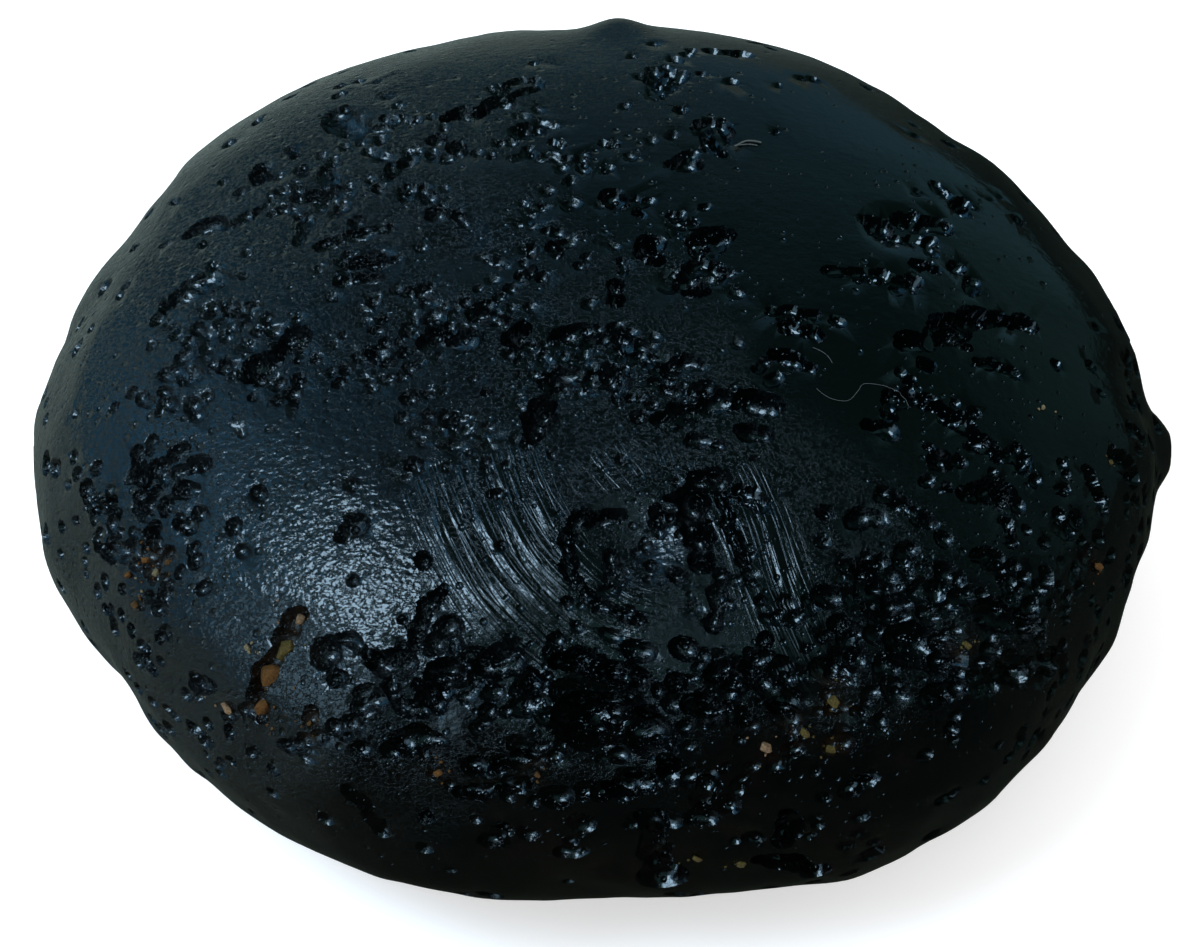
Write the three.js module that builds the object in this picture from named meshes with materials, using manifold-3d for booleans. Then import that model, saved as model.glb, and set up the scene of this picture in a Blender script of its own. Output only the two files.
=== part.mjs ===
// A tektite: a flattened bun of black natural glass, splashed out by a meteorite impact.
// Millimetres, +Z up. The stone lies on the flat of its belly, at Z = 0.
// +X is its long way, +Y its back, and the steep front wall faces -Y.
//
// A place on the skin is written as [east, north]: how many degrees the line from the
// middle of the stone tilts from straight up towards +X and towards +Y. The crown is
// [0, 0], the equator is 90 degrees out, and the belly lies beyond that.
import * as THREE from 'three';
import { mergeVertices } from 'three/addons/utils/BufferGeometryUtils.js';
import Module from 'manifold-3d';

// ---- the bun ----
const RIM_STEP = 15; // degrees between two rim radii
const RIM_RADII = [ // anticlockwise from +X
  31.6, 31.0, 30.3, 29.4, 30.0, 30.0, 29.4, 29.7,
  30.4, 31.3, 31.9, 31.6, 32.9, 32.9, 31.9, 31.7,
  31.6, 30.8, 30.1, 30.6, 32.0, 32.4, 31.7, 31.9,
];
const MIDDLE_HEIGHT = 12.0; // of the widest level above the flat
const CROWN_RISE = 15.0; // from the widest level up to the crown
const BELLY_DROP = 12.5; // from the widest level down, before the flat cuts it
const CROWN_POWER = 2.5; // 2 is an ellipse, more is boxier
const BELLY_POWER = 2.4;

// Knobs (height above 0) and nicks (below 0) that break the outline, in degrees and mm.
const LUMPS = [
  { azimuth: -2, polar: 90, width: 4, height: 1.5 },
  { azimuth: 88, polar: 66, width: 4, height: 0.8 },
  { azimuth: -42, polar: 100, width: 3.5, height: -1.3 },
  { azimuth: -9, polar: 92, width: 4, height: 0.4 },
  { azimuth: 153, polar: 80, width: 5, height: -0.6 },
  { azimuth: -150, polar: 96, width: 5, height: -0.5 },
];

// ---- burst bubbles and gouges ----
// Each one runs through one or more places, with a width and a depth in mm.
const gouge = (places, width, depth) => ({ places, width, depth });
const pit = (at, width, depth) => gouge([at], width, depth);

const BACK_GOUGES = [
  gouge([[-28, 39], [-24, 40], [-18, 43.5]], 1.3, 1.0),
  gouge([[-44, 39], [-42, 35]], 2.0, 0.6),
  gouge([[9, 52], [10, 45]], 1.2, 0.6),
];
const CROWN_GOUGES = [
  pit([-28, 3], 4.8, 0.6),
  gouge([[19, 36], [21, 30], [23, 29]], 1.0, 0.6),
  pit([17, 26], 1.9, 0.9),
  gouge([[2, 18], [3, 16]], 1.4, 0.8),
  gouge([[9, 5], [8.8, 0]], 1.2, 1.2),
  gouge([[19, 1], [19.3, 5], [24, 6.5]], 1.1, 1.0),
  pit([21.5, 4], 1.8, 0.7),
  gouge([[17, -5], [17.5, -9]], 1.3, 1.0),
  pit([13.5, -7], 2.2, 0.7),
  gouge([[2.5, -9], [2.5, -13]], 1.0, 1.0),
  gouge([[-32, -19], [-26, -19]], 1.6, 0.9),
  gouge([[-16, -19], [-17, -21]], 1.5, 1.1),
  gouge([[-8, -21], [0, -22]], 1.3, 0.7),
  gouge([[-11, -36], [-11.5, -40]], 1.4, 1.4),
  gouge([[-9, -31], [3, -31]], 1.4, 0.6),
  gouge([[11, -38], [14, -36], [18, -35]], 1.4, 0.9),
  gouge([[19, -34], [23, -32.5], [28, -33]], 1.5, 1.0),
];
const LEFT_GOUGES = [
  gouge([[-63, 15], [-59, 14]], 1.3, 0.7),
  gouge([[-64, -1], [-60, 1.5]], 1.9, 0.7),
  gouge([[-50, -14], [-52, -18], [-54, -20]], 1.4, 0.9),
  gouge([[-65, -25.5], [-65, -28.5]], 1.1, 0.6),
  gouge([[-64, -30], [-60, -28]], 1.1, 0.6),
  pit([-58.3, -34.2], 1.5, 0.6),
  pit([-62.5, -37.5], 1.5, 0.7),
  gouge([[-69, -36], [-65, -38]], 1.1, 0.6),
  gouge([[-37.5, -48], [-36, -47.5]], 1.3, 0.7),
];
const RIGHT_GOUGES = [
  gouge([[46, 12], [48.5, 11]], 1.6, 0.7),
  gouge([[51, 13.5], [55, 12.5]], 1.4, 0.8),
  gouge([[49, -15], [51.5, -14.5]], 1.4, 1.0),
  gouge([[53, -12], [58, -7]], 1.9, 1.4),
  gouge([[58, -7], [64, -5]], 1.1, 0.8),
  gouge([[51, -26], [54, -28], [56.5, -31]], 1.2, 0.8),
  gouge([[41.5, -33], [44, -33]], 1.1, 0.6),
  pit([49, -35], 1.4, 0.9),
  gouge([[51, -38], [57, -35]], 1.3, 0.8),
  gouge([[72, -21], [75, -22]], 1.5, 0.6),
  gouge([[31, -23], [33, -24]], 1.4, 0.8),
];
const SWIRL_GOUGES = [
  gouge([[3, -51.5], [-4, -52], [-5, -58]], 1.1, 0.8),
  gouge([[-5, -58], [0, -61.5], [5, -62.5]], 1.0, 0.7),
  pit([1, -57.5], 1.7, 0.8),
  gouge([[15.5, -46], [18, -46]], 1.8, 1.1),
  gouge([[14, -48], [14.5, -56.5]], 1.9, 1.6),
  gouge([[18, -46], [20.5, -55]], 1.2, 0.9),
  pit([11, -58], 1.5, 0.6),
  gouge([[17, -57], [15, -62]], 1.1, 0.6),
];
const SHOULDER_GOUGES = [
  gouge([[-41.5, -55], [-43, -57.5], [-46.5, -61.5]], 1.2, 0.8),
  pit([-37.5, -60.5], 1.6, 0.8),
  gouge([[-30.5, -62.5], [-27, -63.3]], 1.5, 1.1),
  pit([-21.3, -65.5], 1.7, 1.0),
  gouge([[-16.5, -66], [-13, -65.5]], 1.5, 0.8),
  gouge([[-6, -66.5], [5, -68]], 1.3, 1.2),
  gouge([[-3, -71.5], [6, -72.5]], 2.9, 1.7),
  gouge([[15, -66.5], [24, -67.5]], 1.7, 1.0),
  gouge([[12, -69.5], [19, -70.5]], 1.3, 0.8),
  gouge([[36, -52], [38, -55]], 1.9, 0.8),
  gouge([[41, -57.5], [45, -58]], 2.3, 1.0),
  gouge([[51, -51], [57, -50]], 1.7, 0.8),
  gouge([[33, -60], [31, -63]], 1.5, 0.6),
];
const WALL_GOUGES = [
  gouge([[-27, -71], [-22, -71.5]], 1.5, 0.8),
  gouge([[-18, -74.5], [-9, -75]], 1.1, 0.6),
  gouge([[2, -79], [5, -77.5]], 1.5, 0.8),
  gouge([[14, -79], [15, -77]], 1.6, 0.7),
  gouge([[25.5, -79.5], [26.3, -83]], 1.3, 0.9),
  gouge([[24, -86], [28, -85.5], [33, -86.5]], 1.5, 1.1),
  gouge([[7, -82], [8, -91]], 1.5, 0.8),
];

// The underside and the back wall carry the same bubbles, on a spiral of even spacing.
const HIDDEN_COUNT = 22;
const HIDDEN_POLAR = [84, 150]; // degrees from straight up, first and last
const GOLDEN_ANGLE = 137.5;
const HIDDEN_WIDTHS = [2.6, 1.8, 3.2, 2.2];
const FRONT_CLEAR = 62; // degrees either side of -Y that the wall's own hollows fill

// ---- fineness ----
const BUN_DETAIL = 44;
const CUTTER_DETAIL = 1;
const TOLERANCE = 0.15; // mm that a facet may stray from the true skin

const radians = THREE.MathUtils.degToRad;

// Rim radius at an azimuth, on a closed Catmull-Rom curve through RIM_RADII.
function rimRadius(azimuth) {
  const count = RIM_RADII.length;
  const turn = ((azimuth / RIM_STEP) % count + count) % count;
  const k = Math.floor(turn);
  const t = turn - k;
  const [a, b, c, d] = [-1, 0, 1, 2].map((step) => RIM_RADII[(k + step + count) % count]);
  const bend = t * (c - a + t * (2 * a - 5 * b + 4 * c - d + t * (3 * (b - c) + d - a)));
  return b + 0.5 * bend;
}

// The skin of the bun, in the direction (x, y, z) from its middle.
function skinAt(direction) {
  const n = direction.clone().normalize();
  const azimuth = THREE.MathUtils.radToDeg(Math.atan2(n.y, n.x));
  const level = Math.hypot(n.x, n.y);
  const [power, reach] = n.z > 0 ? [CROWN_POWER, CROWN_RISE] : [BELLY_POWER, BELLY_DROP];
  const sum = (level / rimRadius(azimuth)) ** power + (Math.abs(n.z) / reach) ** power;
  let radius = sum ** (-1 / power);
  for (const lump of LUMPS) {
    const away = THREE.MathUtils.radToDeg(n.angleTo(towards(lump.azimuth, lump.polar)));
    radius += lump.height * Math.exp(-((away / lump.width) ** 2));
  }
  return n.multiplyScalar(radius).add(new THREE.Vector3(0, 0, MIDDLE_HEIGHT));
}

function towards(azimuth, polar) {
  const z = Math.cos(radians(polar));
  const level = Math.sin(radians(polar));
  return new THREE.Vector3(level * Math.cos(radians(azimuth)), level * Math.sin(radians(azimuth)), z);
}

function placeAt([east, north]) {
  const azimuth = THREE.MathUtils.radToDeg(Math.atan2(north, east));
  return skinAt(towards(azimuth, Math.hypot(east, north)));
}

// Outward normal at a place, from two short steps across the skin.
function normalAt([east, north]) {
  const step = 0.5; // degrees
  const here = placeAt([east, north]);
  const sideways = placeAt([east + step, north]).sub(here);
  const onwards = placeAt([east, north + step]).sub(here);
  return sideways.cross(onwards).normalize();
}

// ---- solids ----
const wasm = await Module();
wasm.setup();

function toSolid(geometry) {
  geometry.deleteAttribute('normal');
  geometry.deleteAttribute('uv');
  const welded = mergeVertices(geometry);
  return new wasm.Manifold(new wasm.Mesh({
    numProp: 3,
    vertProperties: Float32Array.from(welded.attributes.position.array),
    triVerts: Uint32Array.from(welded.index.array),
  }));
}

function toGeometry(solid) {
  const { vertProperties, triVerts } = solid.getMesh();
  const indexed = new THREE.BufferGeometry();
  indexed.setAttribute('position', new THREE.BufferAttribute(vertProperties, 3));
  indexed.setIndex(new THREE.BufferAttribute(triVerts, 1));
  const faceted = indexed.toNonIndexed();
  faceted.computeVertexNormals();
  return faceted;
}

function bunSolid() {
  const geometry = new THREE.IcosahedronGeometry(1, BUN_DETAIL);
  const position = geometry.attributes.position;
  const corner = new THREE.Vector3();
  for (let i = 0; i < position.count; i += 1) {
    corner.copy(skinAt(corner.fromBufferAttribute(position, i)));
    position.setXYZ(i, corner.x, corner.y, corner.z);
  }
  return toSolid(geometry);
}

// An egg-shaped cutter from one place to another, half sunk in the skin and as deep as asked.
function eggCutter(from, to, width, depth) {
  const start = placeAt(from);
  const end = placeAt(to);
  const middle = [(from[0] + to[0]) / 2, (from[1] + to[1]) / 2];
  const length = start.distanceTo(end) + width;
  const normal = normalAt(middle);
  const across = start.distanceTo(end) > 0
    ? new THREE.Vector3().crossVectors(normal, end.clone().sub(start)).normalize()
    : new THREE.Vector3(0, 1, 0).cross(normal).normalize();
  const along = new THREE.Vector3().crossVectors(across, normal);
  const geometry = new THREE.IcosahedronGeometry(1, CUTTER_DETAIL);
  geometry.scale(length / 2, width / 2, depth);
  geometry.applyMatrix4(new THREE.Matrix4().makeBasis(along, across, normal));
  const centre = placeAt(middle);
  geometry.translate(centre.x, centre.y, centre.z);
  return toSolid(geometry);
}

// One cutter for each stretch of a gouge, and one alone for a round pit.
function gougeCutters({ places, width, depth }) {
  const ends = places.length > 1 ? places.slice(1) : places;
  return ends.map((to, i) => eggCutter(places[i], to, width, depth));
}

function hiddenGouges() {
  const [first, last] = HIDDEN_POLAR;
  const gouges = [];
  for (let i = 0; i < HIDDEN_COUNT; i += 1) {
    const azimuth = (i * GOLDEN_ANGLE) % 360;
    const polar = first + (last - first) * (i + 0.5) / HIDDEN_COUNT;
    const fromFront = Math.abs(((azimuth + 270) % 360) - 180);
    const width = HIDDEN_WIDTHS[i % HIDDEN_WIDTHS.length];
    if (polar > 100 || fromFront < 180 - FRONT_CLEAR) {
      const place = [polar * Math.cos(radians(azimuth)), polar * Math.sin(radians(azimuth))];
      gouges.push(pit(place, width, 0.35 * width));
    }
  }
  return gouges;
}

// Everything below Z = 0 goes, which leaves the flat that the stone rests on.
function groundSolid() {
  const size = 100;
  const geometry = new THREE.BoxGeometry(size, size, size);
  geometry.translate(0, 0, -size / 2);
  return toSolid(geometry);
}

const gouges = [
  ...BACK_GOUGES,
  ...CROWN_GOUGES,
  ...LEFT_GOUGES,
  ...RIGHT_GOUGES,
  ...SWIRL_GOUGES,
  ...SHOULDER_GOUGES,
  ...WALL_GOUGES,
  ...hiddenGouges(),
];
const cutters = wasm.Manifold.union(gouges.flatMap(gougeCutters));
const bun = bunSolid().simplify(TOLERANCE);
const stone = bun.subtract(cutters).subtract(groundSolid()).simplify(TOLERANCE);

const tektite = new THREE.Mesh(
  toGeometry(stone),
  new THREE.MeshStandardMaterial({ color: 0x0a1114, roughness: 0.3, metalness: 0 }),
);
tektite.name = 'tektite';

const group = new THREE.Group();
group.add(tektite);
export default group;
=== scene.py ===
"""A tektite: a flattened bun of black impact glass, lying on the flat of its belly.

The stone's skin is the same bun that the solid model has, carved much finer: gouges and large
burst bubbles in their places, clusters of smaller bubbles, and flow lines that sweep round the
front. Grains of reddish soil sit in some of the hollows, and a few lint fibres lie on top.

Shapes are worked out in millimetres and turned into metres when they become meshes.
A place on the skin is (east, north): how many degrees the line from the middle of the stone
tilts from straight up towards +X and towards +Y.
"""
import math

import bmesh
import bpy
import numpy as np
from mathutils import Matrix, Vector, kdtree
from mathutils.bvhtree import BVHTree


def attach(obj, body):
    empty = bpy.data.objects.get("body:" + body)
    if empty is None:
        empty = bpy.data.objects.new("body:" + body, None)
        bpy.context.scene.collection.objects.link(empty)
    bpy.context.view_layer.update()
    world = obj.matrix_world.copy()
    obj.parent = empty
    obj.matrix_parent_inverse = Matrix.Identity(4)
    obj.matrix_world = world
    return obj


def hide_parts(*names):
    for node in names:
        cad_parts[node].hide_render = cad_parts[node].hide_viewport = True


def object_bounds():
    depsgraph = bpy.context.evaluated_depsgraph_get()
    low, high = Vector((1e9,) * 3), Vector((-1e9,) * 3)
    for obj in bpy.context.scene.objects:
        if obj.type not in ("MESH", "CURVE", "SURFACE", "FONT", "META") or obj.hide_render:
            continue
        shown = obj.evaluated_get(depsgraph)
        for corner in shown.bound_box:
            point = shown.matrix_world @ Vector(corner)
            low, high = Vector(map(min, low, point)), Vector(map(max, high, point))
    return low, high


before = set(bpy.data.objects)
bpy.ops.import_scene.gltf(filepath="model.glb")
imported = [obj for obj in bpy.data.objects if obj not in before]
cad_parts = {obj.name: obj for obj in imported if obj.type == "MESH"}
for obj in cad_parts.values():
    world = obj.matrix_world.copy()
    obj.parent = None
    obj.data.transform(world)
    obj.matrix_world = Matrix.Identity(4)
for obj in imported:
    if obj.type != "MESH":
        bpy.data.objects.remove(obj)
cad_box = [list(corner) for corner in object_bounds()]

MM = 0.001

# ---- the bun, as in the solid model ----
RIM_STEP = 15.0
RIM_RADII = np.array([
    31.6, 31.0, 30.3, 29.4, 30.0, 30.0, 29.4, 29.7,
    30.4, 31.3, 31.9, 31.6, 32.9, 32.9, 31.9, 31.7,
    31.6, 30.8, 30.1, 30.6, 32.0, 32.4, 31.7, 31.9,
])
MIDDLE_HEIGHT = 12.0
CROWN_RISE = 15.0
BELLY_DROP = 12.5
CROWN_POWER = 2.5
BELLY_POWER = 2.4
LUMPS = [  # azimuth, polar, width in degrees, height in mm
    (-2, 90, 4.0, 1.5),
    (88, 66, 4.0, 0.8),
    (-42, 100, 3.5, -1.3),
    (-9, 92, 4.0, 0.4),
    (153, 80, 5.0, -0.6),
    (-150, 96, 5.0, -0.5),
]

# ---- the mesh ----
BALL_LEVEL = 9
CLOSE_PULL = 0.30  # how strongly the mesh points gather on the front of the crown
CLOSE_PLACE = (0, -50)
SKIN_TRIANGLES = 192000


def unit_vector(azimuth, polar):
    level = math.sin(math.radians(polar))
    return np.array([
        level * math.cos(math.radians(azimuth)),
        level * math.sin(math.radians(azimuth)),
        math.cos(math.radians(polar)),
    ])


def unit(vectors):
    return vectors / np.linalg.norm(vectors, axis=1, keepdims=True)


def direction_of(place):
    east, north = place
    return unit_vector(math.degrees(math.atan2(north, east)), math.hypot(east, north))


def catmull_rom(a, b, c, d, t):
    """The point a share t of the way from b to c, on the smooth curve through all four."""
    return b + 0.5 * t * (c - a + t * (2 * a - 5 * b + 4 * c - d + t * (3 * (b - c) + d - a)))


def rim_radius(azimuth):
    """Rim radius at azimuths in degrees, on a closed smooth curve through RIM_RADII."""
    count = len(RIM_RADII)
    turn = (azimuth / RIM_STEP) % count
    k = np.floor(turn).astype(int)
    knots = [RIM_RADII[(k + step) % count] for step in (-1, 0, 1, 2)]
    return catmull_rom(*knots, turn - k)


def smooth_line(places, steps):
    """Places on a smooth line through these ones, in so many steps from each to the next."""
    last = len(places) - 1
    line = []
    for i in range(last):
        picks = [places[min(max(i + step, 0), last)] for step in (-1, 0, 1, 2)]
        knots = [np.array(place, dtype=float) for place in picks]
        line += [catmull_rom(*knots, k / steps) for k in range(steps)]
    line.append(np.array(places[-1], dtype=float))
    return line


def skin_at(directions):
    """Points of the smooth bun, in mm, in these unit directions from its middle."""
    n = directions
    azimuth = np.degrees(np.arctan2(n[:, 1], n[:, 0]))
    level = np.hypot(n[:, 0], n[:, 1])
    top = n[:, 2] > 0
    power = np.where(top, CROWN_POWER, BELLY_POWER)
    reach = np.where(top, CROWN_RISE, BELLY_DROP)
    total = (level / rim_radius(azimuth)) ** power + (np.abs(n[:, 2]) / reach) ** power
    radius = total ** (-1 / power)
    for azimuth, polar, width, height in LUMPS:
        away = np.degrees(np.arccos(np.clip(n @ unit_vector(azimuth, polar), -1, 1)))
        radius = radius + height * np.exp(-(away / width) ** 2)
    return n * radius[:, None] + (0, 0, MIDDLE_HEIGHT)


def places_at(places):
    return skin_at(np.array([direction_of(place) for place in places]))


def places_of(points):
    """The (east, north) places of points, in degrees, as seen from the middle of the stone."""
    way = unit(points - (0, 0, MIDDLE_HEIGHT))
    polar = np.degrees(np.arccos(np.clip(way[:, 2], -1, 1)))
    level = np.maximum(np.hypot(way[:, 0], way[:, 1]), 1e-9)
    return polar * way[:, 0] / level, polar * way[:, 1] / level


def skin_normals(directions):
    """Outward normals of the smooth bun, from two short steps across it."""
    step = 0.004
    helper = np.where(np.abs(directions[:, 2:]) < 0.9, (0.0, 0.0, 1.0), (1.0, 0.0, 0.0))
    across = unit(np.cross(helper, directions))
    onward = np.cross(directions, across)
    sides = [skin_at(unit(directions + s * step * way)) for way in (across, onward) for s in (1, -1)]
    return unit(np.cross(sides[0] - sides[1], sides[2] - sides[3]))


def smooth(low, high, value):
    t = np.clip((value - low) / (high - low), 0, 1)
    return t * t * (3 - 2 * t)


# ---- soft noise ----
NOISE_SIZE = 32
NOISE_OFFSET = 7.3  # lattice steps between one seed's noise and the next


def noise_lattice(seed):
    return np.random.default_rng(seed).uniform(-1, 1, (NOISE_SIZE,) * 3)


def soft_noise(points, wavelength, seed):
    """Smooth noise between -1 and 1 with lumps about a wavelength apart, in mm."""
    lattice = noise_lattice(seed)
    q = points / wavelength + NOISE_OFFSET * seed
    cell = np.floor(q).astype(int)
    t = q - cell
    t = t * t * (3 - 2 * t)
    low = cell % NOISE_SIZE
    high = (cell + 1) % NOISE_SIZE
    total = 0
    for corner in range(8):
        pick = [(corner >> axis) & 1 for axis in range(3)]
        index = [np.where(pick[axis], high[:, axis], low[:, axis]) for axis in range(3)]
        weight = 1
        for axis in range(3):
            weight = weight * (t[:, axis] if pick[axis] else 1 - t[:, axis])
        total = total + lattice[index[0], index[1], index[2]] * weight
    return total


def noise_about(middle, points, layers):
    """A middle value with noise added in layers: (wavelength in mm, amount, seed) each."""
    total = middle
    for wavelength, amount, seed in layers:
        total = total + amount * soft_noise(points, wavelength, seed)
    return total


def noise_shift(points, wavelength, amount, seed):
    """Points moved about by smooth noise, so that what is carved there gets an uneven outline."""
    moves = [soft_noise(points, wavelength, seed + axis) for axis in range(3)]
    return points + amount * np.stack(moves, axis=1)


# ---- gouges: the places they run through, then width and depth in mm ----
BACK_GOUGES = [
    ([(-28, 39), (-24, 40), (-18, 43.5)], 1.3, 1.0),
    ([(-19, 45), (-17, 48), (-12, 49), (-11, 47.5), (-15, 45.5), (-19, 44)], 0.7, 0.5),
    ([(-44, 39), (-42, 35)], 2.0, 0.6),
    ([(-38, 38), (-33, 37.5)], 0.8, 0.4),
    ([(-31, 32)], 1.3, 0.6),
    ([(-28, 31), (-27, 29)], 1.1, 0.6),
    ([(-38, 25), (-35, 27)], 1.0, 0.5),
    ([(-16, 35), (-13, 36)], 1.4, 0.5),
    ([(-13, 28), (-8, 28)], 0.9, 0.4),
    ([(9, 52), (9, 47), (10, 45)], 1.1, 0.5),
    ([(12, 51), (14, 50)], 1.2, 0.5),
    ([(19, 57), (24, 57)], 1.1, 0.5),
    ([(15, 56)], 0.8, 0.4),
]
CROWN_GOUGES = [
    ([(19, 37), (20.5, 38), (22.5, 37), (23.5, 34)], 0.9, 0.6),
    ([(19, 36), (20, 33), (21, 30), (23, 29)], 0.9, 0.6),
    ([(15, 26), (15.5, 28.5), (18, 29)], 0.7, 0.4),
    ([(17, 26)], 1.9, 0.9),
    ([(2, 18), (3, 16)], 1.4, 0.8),
    ([(6.5, 13)], 0.9, 0.5),
    ([(9, 5), (8.8, 0), (11, -1)], 1.1, 1.2),
    ([(10.5, 4)], 1.5, 0.5),
    ([(19, 1), (19.3, 5), (21, 7), (24, 6.5)], 1.0, 1.0),
    ([(21.5, 4)], 1.8, 0.5),
    ([(17, -5), (17.5, -9), (19.5, -9)], 1.2, 1.0),
    ([(18, -3), (20, -2), (23, -4)], 0.9, 0.6),
    ([(4, -2), (4, -5)], 0.6, 0.4),
    ([(2.5, -9), (2.5, -13)], 1.0, 1.0),
    ([(-33, 17)], 1.0, 0.5),
    ([(-31.5, 13)], 1.2, 0.6),
    ([(-24, 1), (-19, -2)], 0.8, 0.4),
    ([(-17, -5.5), (-14.5, -3.5)], 0.8, 0.5),
    ([(-15, 3), (-14.5, 1)], 0.7, 0.4),
    ([(-10.5, 3), (-9.5, 1)], 1.0, 0.7),
    ([(-24, -14), (-20, -17)], 1.0, 0.6),
    ([(-32, -19), (-26, -19)], 1.6, 0.9),
    ([(-35, -17)], 1.0, 0.5),
    ([(-16, -19), (-17, -21)], 1.5, 1.1),
    ([(-8, -21), (0, -22)], 1.3, 0.7),
    ([(3, -21), (4, -24)], 1.0, 0.6),
    ([(7, -24)], 1.2, 0.6),
    ([(-11, -36), (-11.5, -40)], 1.4, 1.4),
    ([(-9, -31), (-5, -30), (3, -31)], 1.4, 0.6),
    ([(12, -28), (14, -26.5), (17, -26.5)], 1.0, 0.7),
    ([(11, -38), (14, -36), (18, -35)], 1.4, 0.9),
    ([(19, -34), (23, -32.5), (28, -33)], 1.5, 1.0),
    ([(23, -38), (26, -38)], 1.1, 0.6),
    ([(18, -31)], 0.9, 0.5),
    ([(10, -31), (14, -33)], 1.2, 0.4),
    ([(15, -41), (19, -41)], 0.9, 0.4),
    ([(24, -42)], 0.7, 0.4),
    ([(-39, -20), (-37, -23)], 0.9, 0.4),
    ([(-33, -31)], 1.1, 0.5),
    ([(-21, -32)], 1.0, 0.4),
    ([(-27, -35), (-25, -37)], 1.0, 0.4),
    ([(-29, -42)], 1.0, 0.5),
    ([(-38, -42)], 1.0, 0.4),
    ([(-26, -54)], 1.1, 0.6),
]
LEFT_GOUGES = [
    ([(-51, 19), (-46, 19.5)], 1.0, 0.5),
    ([(-56, 17)], 1.1, 0.6),
    ([(-63, 15), (-61, 16), (-59, 14)], 1.2, 0.7),
    ([(-55, 28), (-55, 25)], 1.1, 0.6),
    ([(-50, 14), (-51, 8)], 0.9, 0.4),
    ([(-48, 6), (-45, 8), (-42, 8)], 1.0, 0.6),
    ([(-42, 9), (-39, 9.5)], 0.8, 0.4),
    ([(-44, 1), (-41, 2), (-39.5, 1)], 1.0, 0.6),
    ([(-45, -3), (-41, -2.5)], 1.0, 0.6),
    ([(-36, -8), (-33, -8)], 0.8, 0.5),
    ([(-64, -1), (-60, 1.5)], 1.9, 0.7),
    ([(-65, -4)], 1.0, 0.5),
    ([(-60, -6), (-55, -6)], 0.8, 0.4),
    ([(-50, -14), (-52, -18), (-54, -20)], 1.4, 0.9),
    ([(-48, -26), (-48, -28)], 0.6, 0.3),
    ([(-65, -25.5), (-65, -28.5)], 1.0, 0.6),
    ([(-64, -30), (-60, -28)], 1.0, 0.6),
    ([(-60, -31), (-57, -31)], 1.0, 0.5),
    ([(-71, -26), (-71, -28.5)], 1.0, 0.5),
    ([(-68, -30)], 1.2, 0.5),
    ([(-64, -33), (-62, -32.5)], 1.0, 0.6),
    ([(-59, -34), (-57.5, -34.5)], 1.1, 0.6),
    ([(-63, -38), (-62, -37)], 1.1, 0.7),
    ([(-59, -38)], 1.0, 0.5),
    ([(-70, -34)], 1.1, 0.5),
    ([(-69, -36), (-65, -38)], 1.1, 0.6),
    ([(-67, -32.5)], 0.9, 0.5),
    ([(-62, -42), (-60, -41)], 1.0, 0.5),
    ([(-56, -44)], 1.0, 0.5),
    ([(-60, -46), (-59, -45)], 0.9, 0.4),
    ([(-66, -50), (-63, -53)], 0.9, 0.4),
    ([(-37.5, -48), (-36, -47.5)], 1.3, 0.7),
    ([(-35, -54)], 0.8, 0.3),
    ([(-57, -57), (-54, -58)], 0.9, 0.5),
]
RIGHT_GOUGES = [
    ([(46, 12), (48.5, 11)], 1.6, 0.7),
    ([(51, 13.5), (55, 12.5)], 1.4, 0.8),
    ([(47, 9.7), (54, 9)], 0.7, 0.4),
    ([(54, 24), (55.5, 22)], 0.9, 0.4),
    ([(58, 21), (57, 19.5)], 1.2, 0.5),
    ([(41, -2), (48, -1)], 0.8, 0.4),
    ([(46, -3), (51, -2)], 0.9, 0.5),
    ([(52, 2.5), (54, 2.5)], 0.9, 0.6),
    ([(56.5, 3.5)], 1.0, 0.5),
    ([(58, 1), (58, -1)], 1.0, 0.5),
    ([(49, -15), (51.5, -14.5)], 1.4, 1.0),
    ([(53, -12), (56, -9), (58, -7)], 1.9, 1.4),
    ([(58, -7), (64, -5)], 1.0, 0.8),
    ([(57, -16), (61, -15.5)], 0.7, 0.4),
    ([(56, -13.5)], 0.8, 0.4),
    ([(51, -19)], 0.9, 0.4),
    ([(48.5, -22)], 1.2, 0.6),
    ([(49.5, -25.5)], 1.1, 0.5),
    ([(44.5, -30), (45.5, -27), (48.5, -25.5)], 0.9, 0.6),
    ([(51, -26), (54, -28), (56.5, -31)], 1.2, 0.8),
    ([(41.5, -33), (44, -33)], 1.1, 0.6),
    ([(49, -35)], 1.4, 0.9),
    ([(53, -31), (60, -29)], 0.7, 0.4),
    ([(51, -38), (54, -36.5), (57, -35)], 1.3, 0.8),
    ([(49, -38)], 0.9, 0.5),
    ([(56, -39), (56, -41.5)], 0.9, 0.5),
    ([(59, -28.5), (59, -31)], 0.9, 0.5),
    ([(41, -42), (46, -44)], 1.0, 0.5),
    ([(65, -28)], 1.0, 0.4),
    ([(70, -30), (68, -26)], 1.0, 0.4),
    ([(72, -21), (75, -22)], 1.5, 0.6),
    ([(51, -45), (53, -44.5), (54, -46)], 1.2, 0.6),
    ([(31, -13.5), (38, -13)], 0.8, 0.4),
    ([(33, -16), (38, -17.5)], 0.9, 0.5),
    ([(31, -23), (33, -24)], 1.4, 0.8),
    ([(35.5, -24.5)], 0.9, 0.5),
    ([(28.5, -25), (27, -27)], 0.8, 0.4),
]
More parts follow.
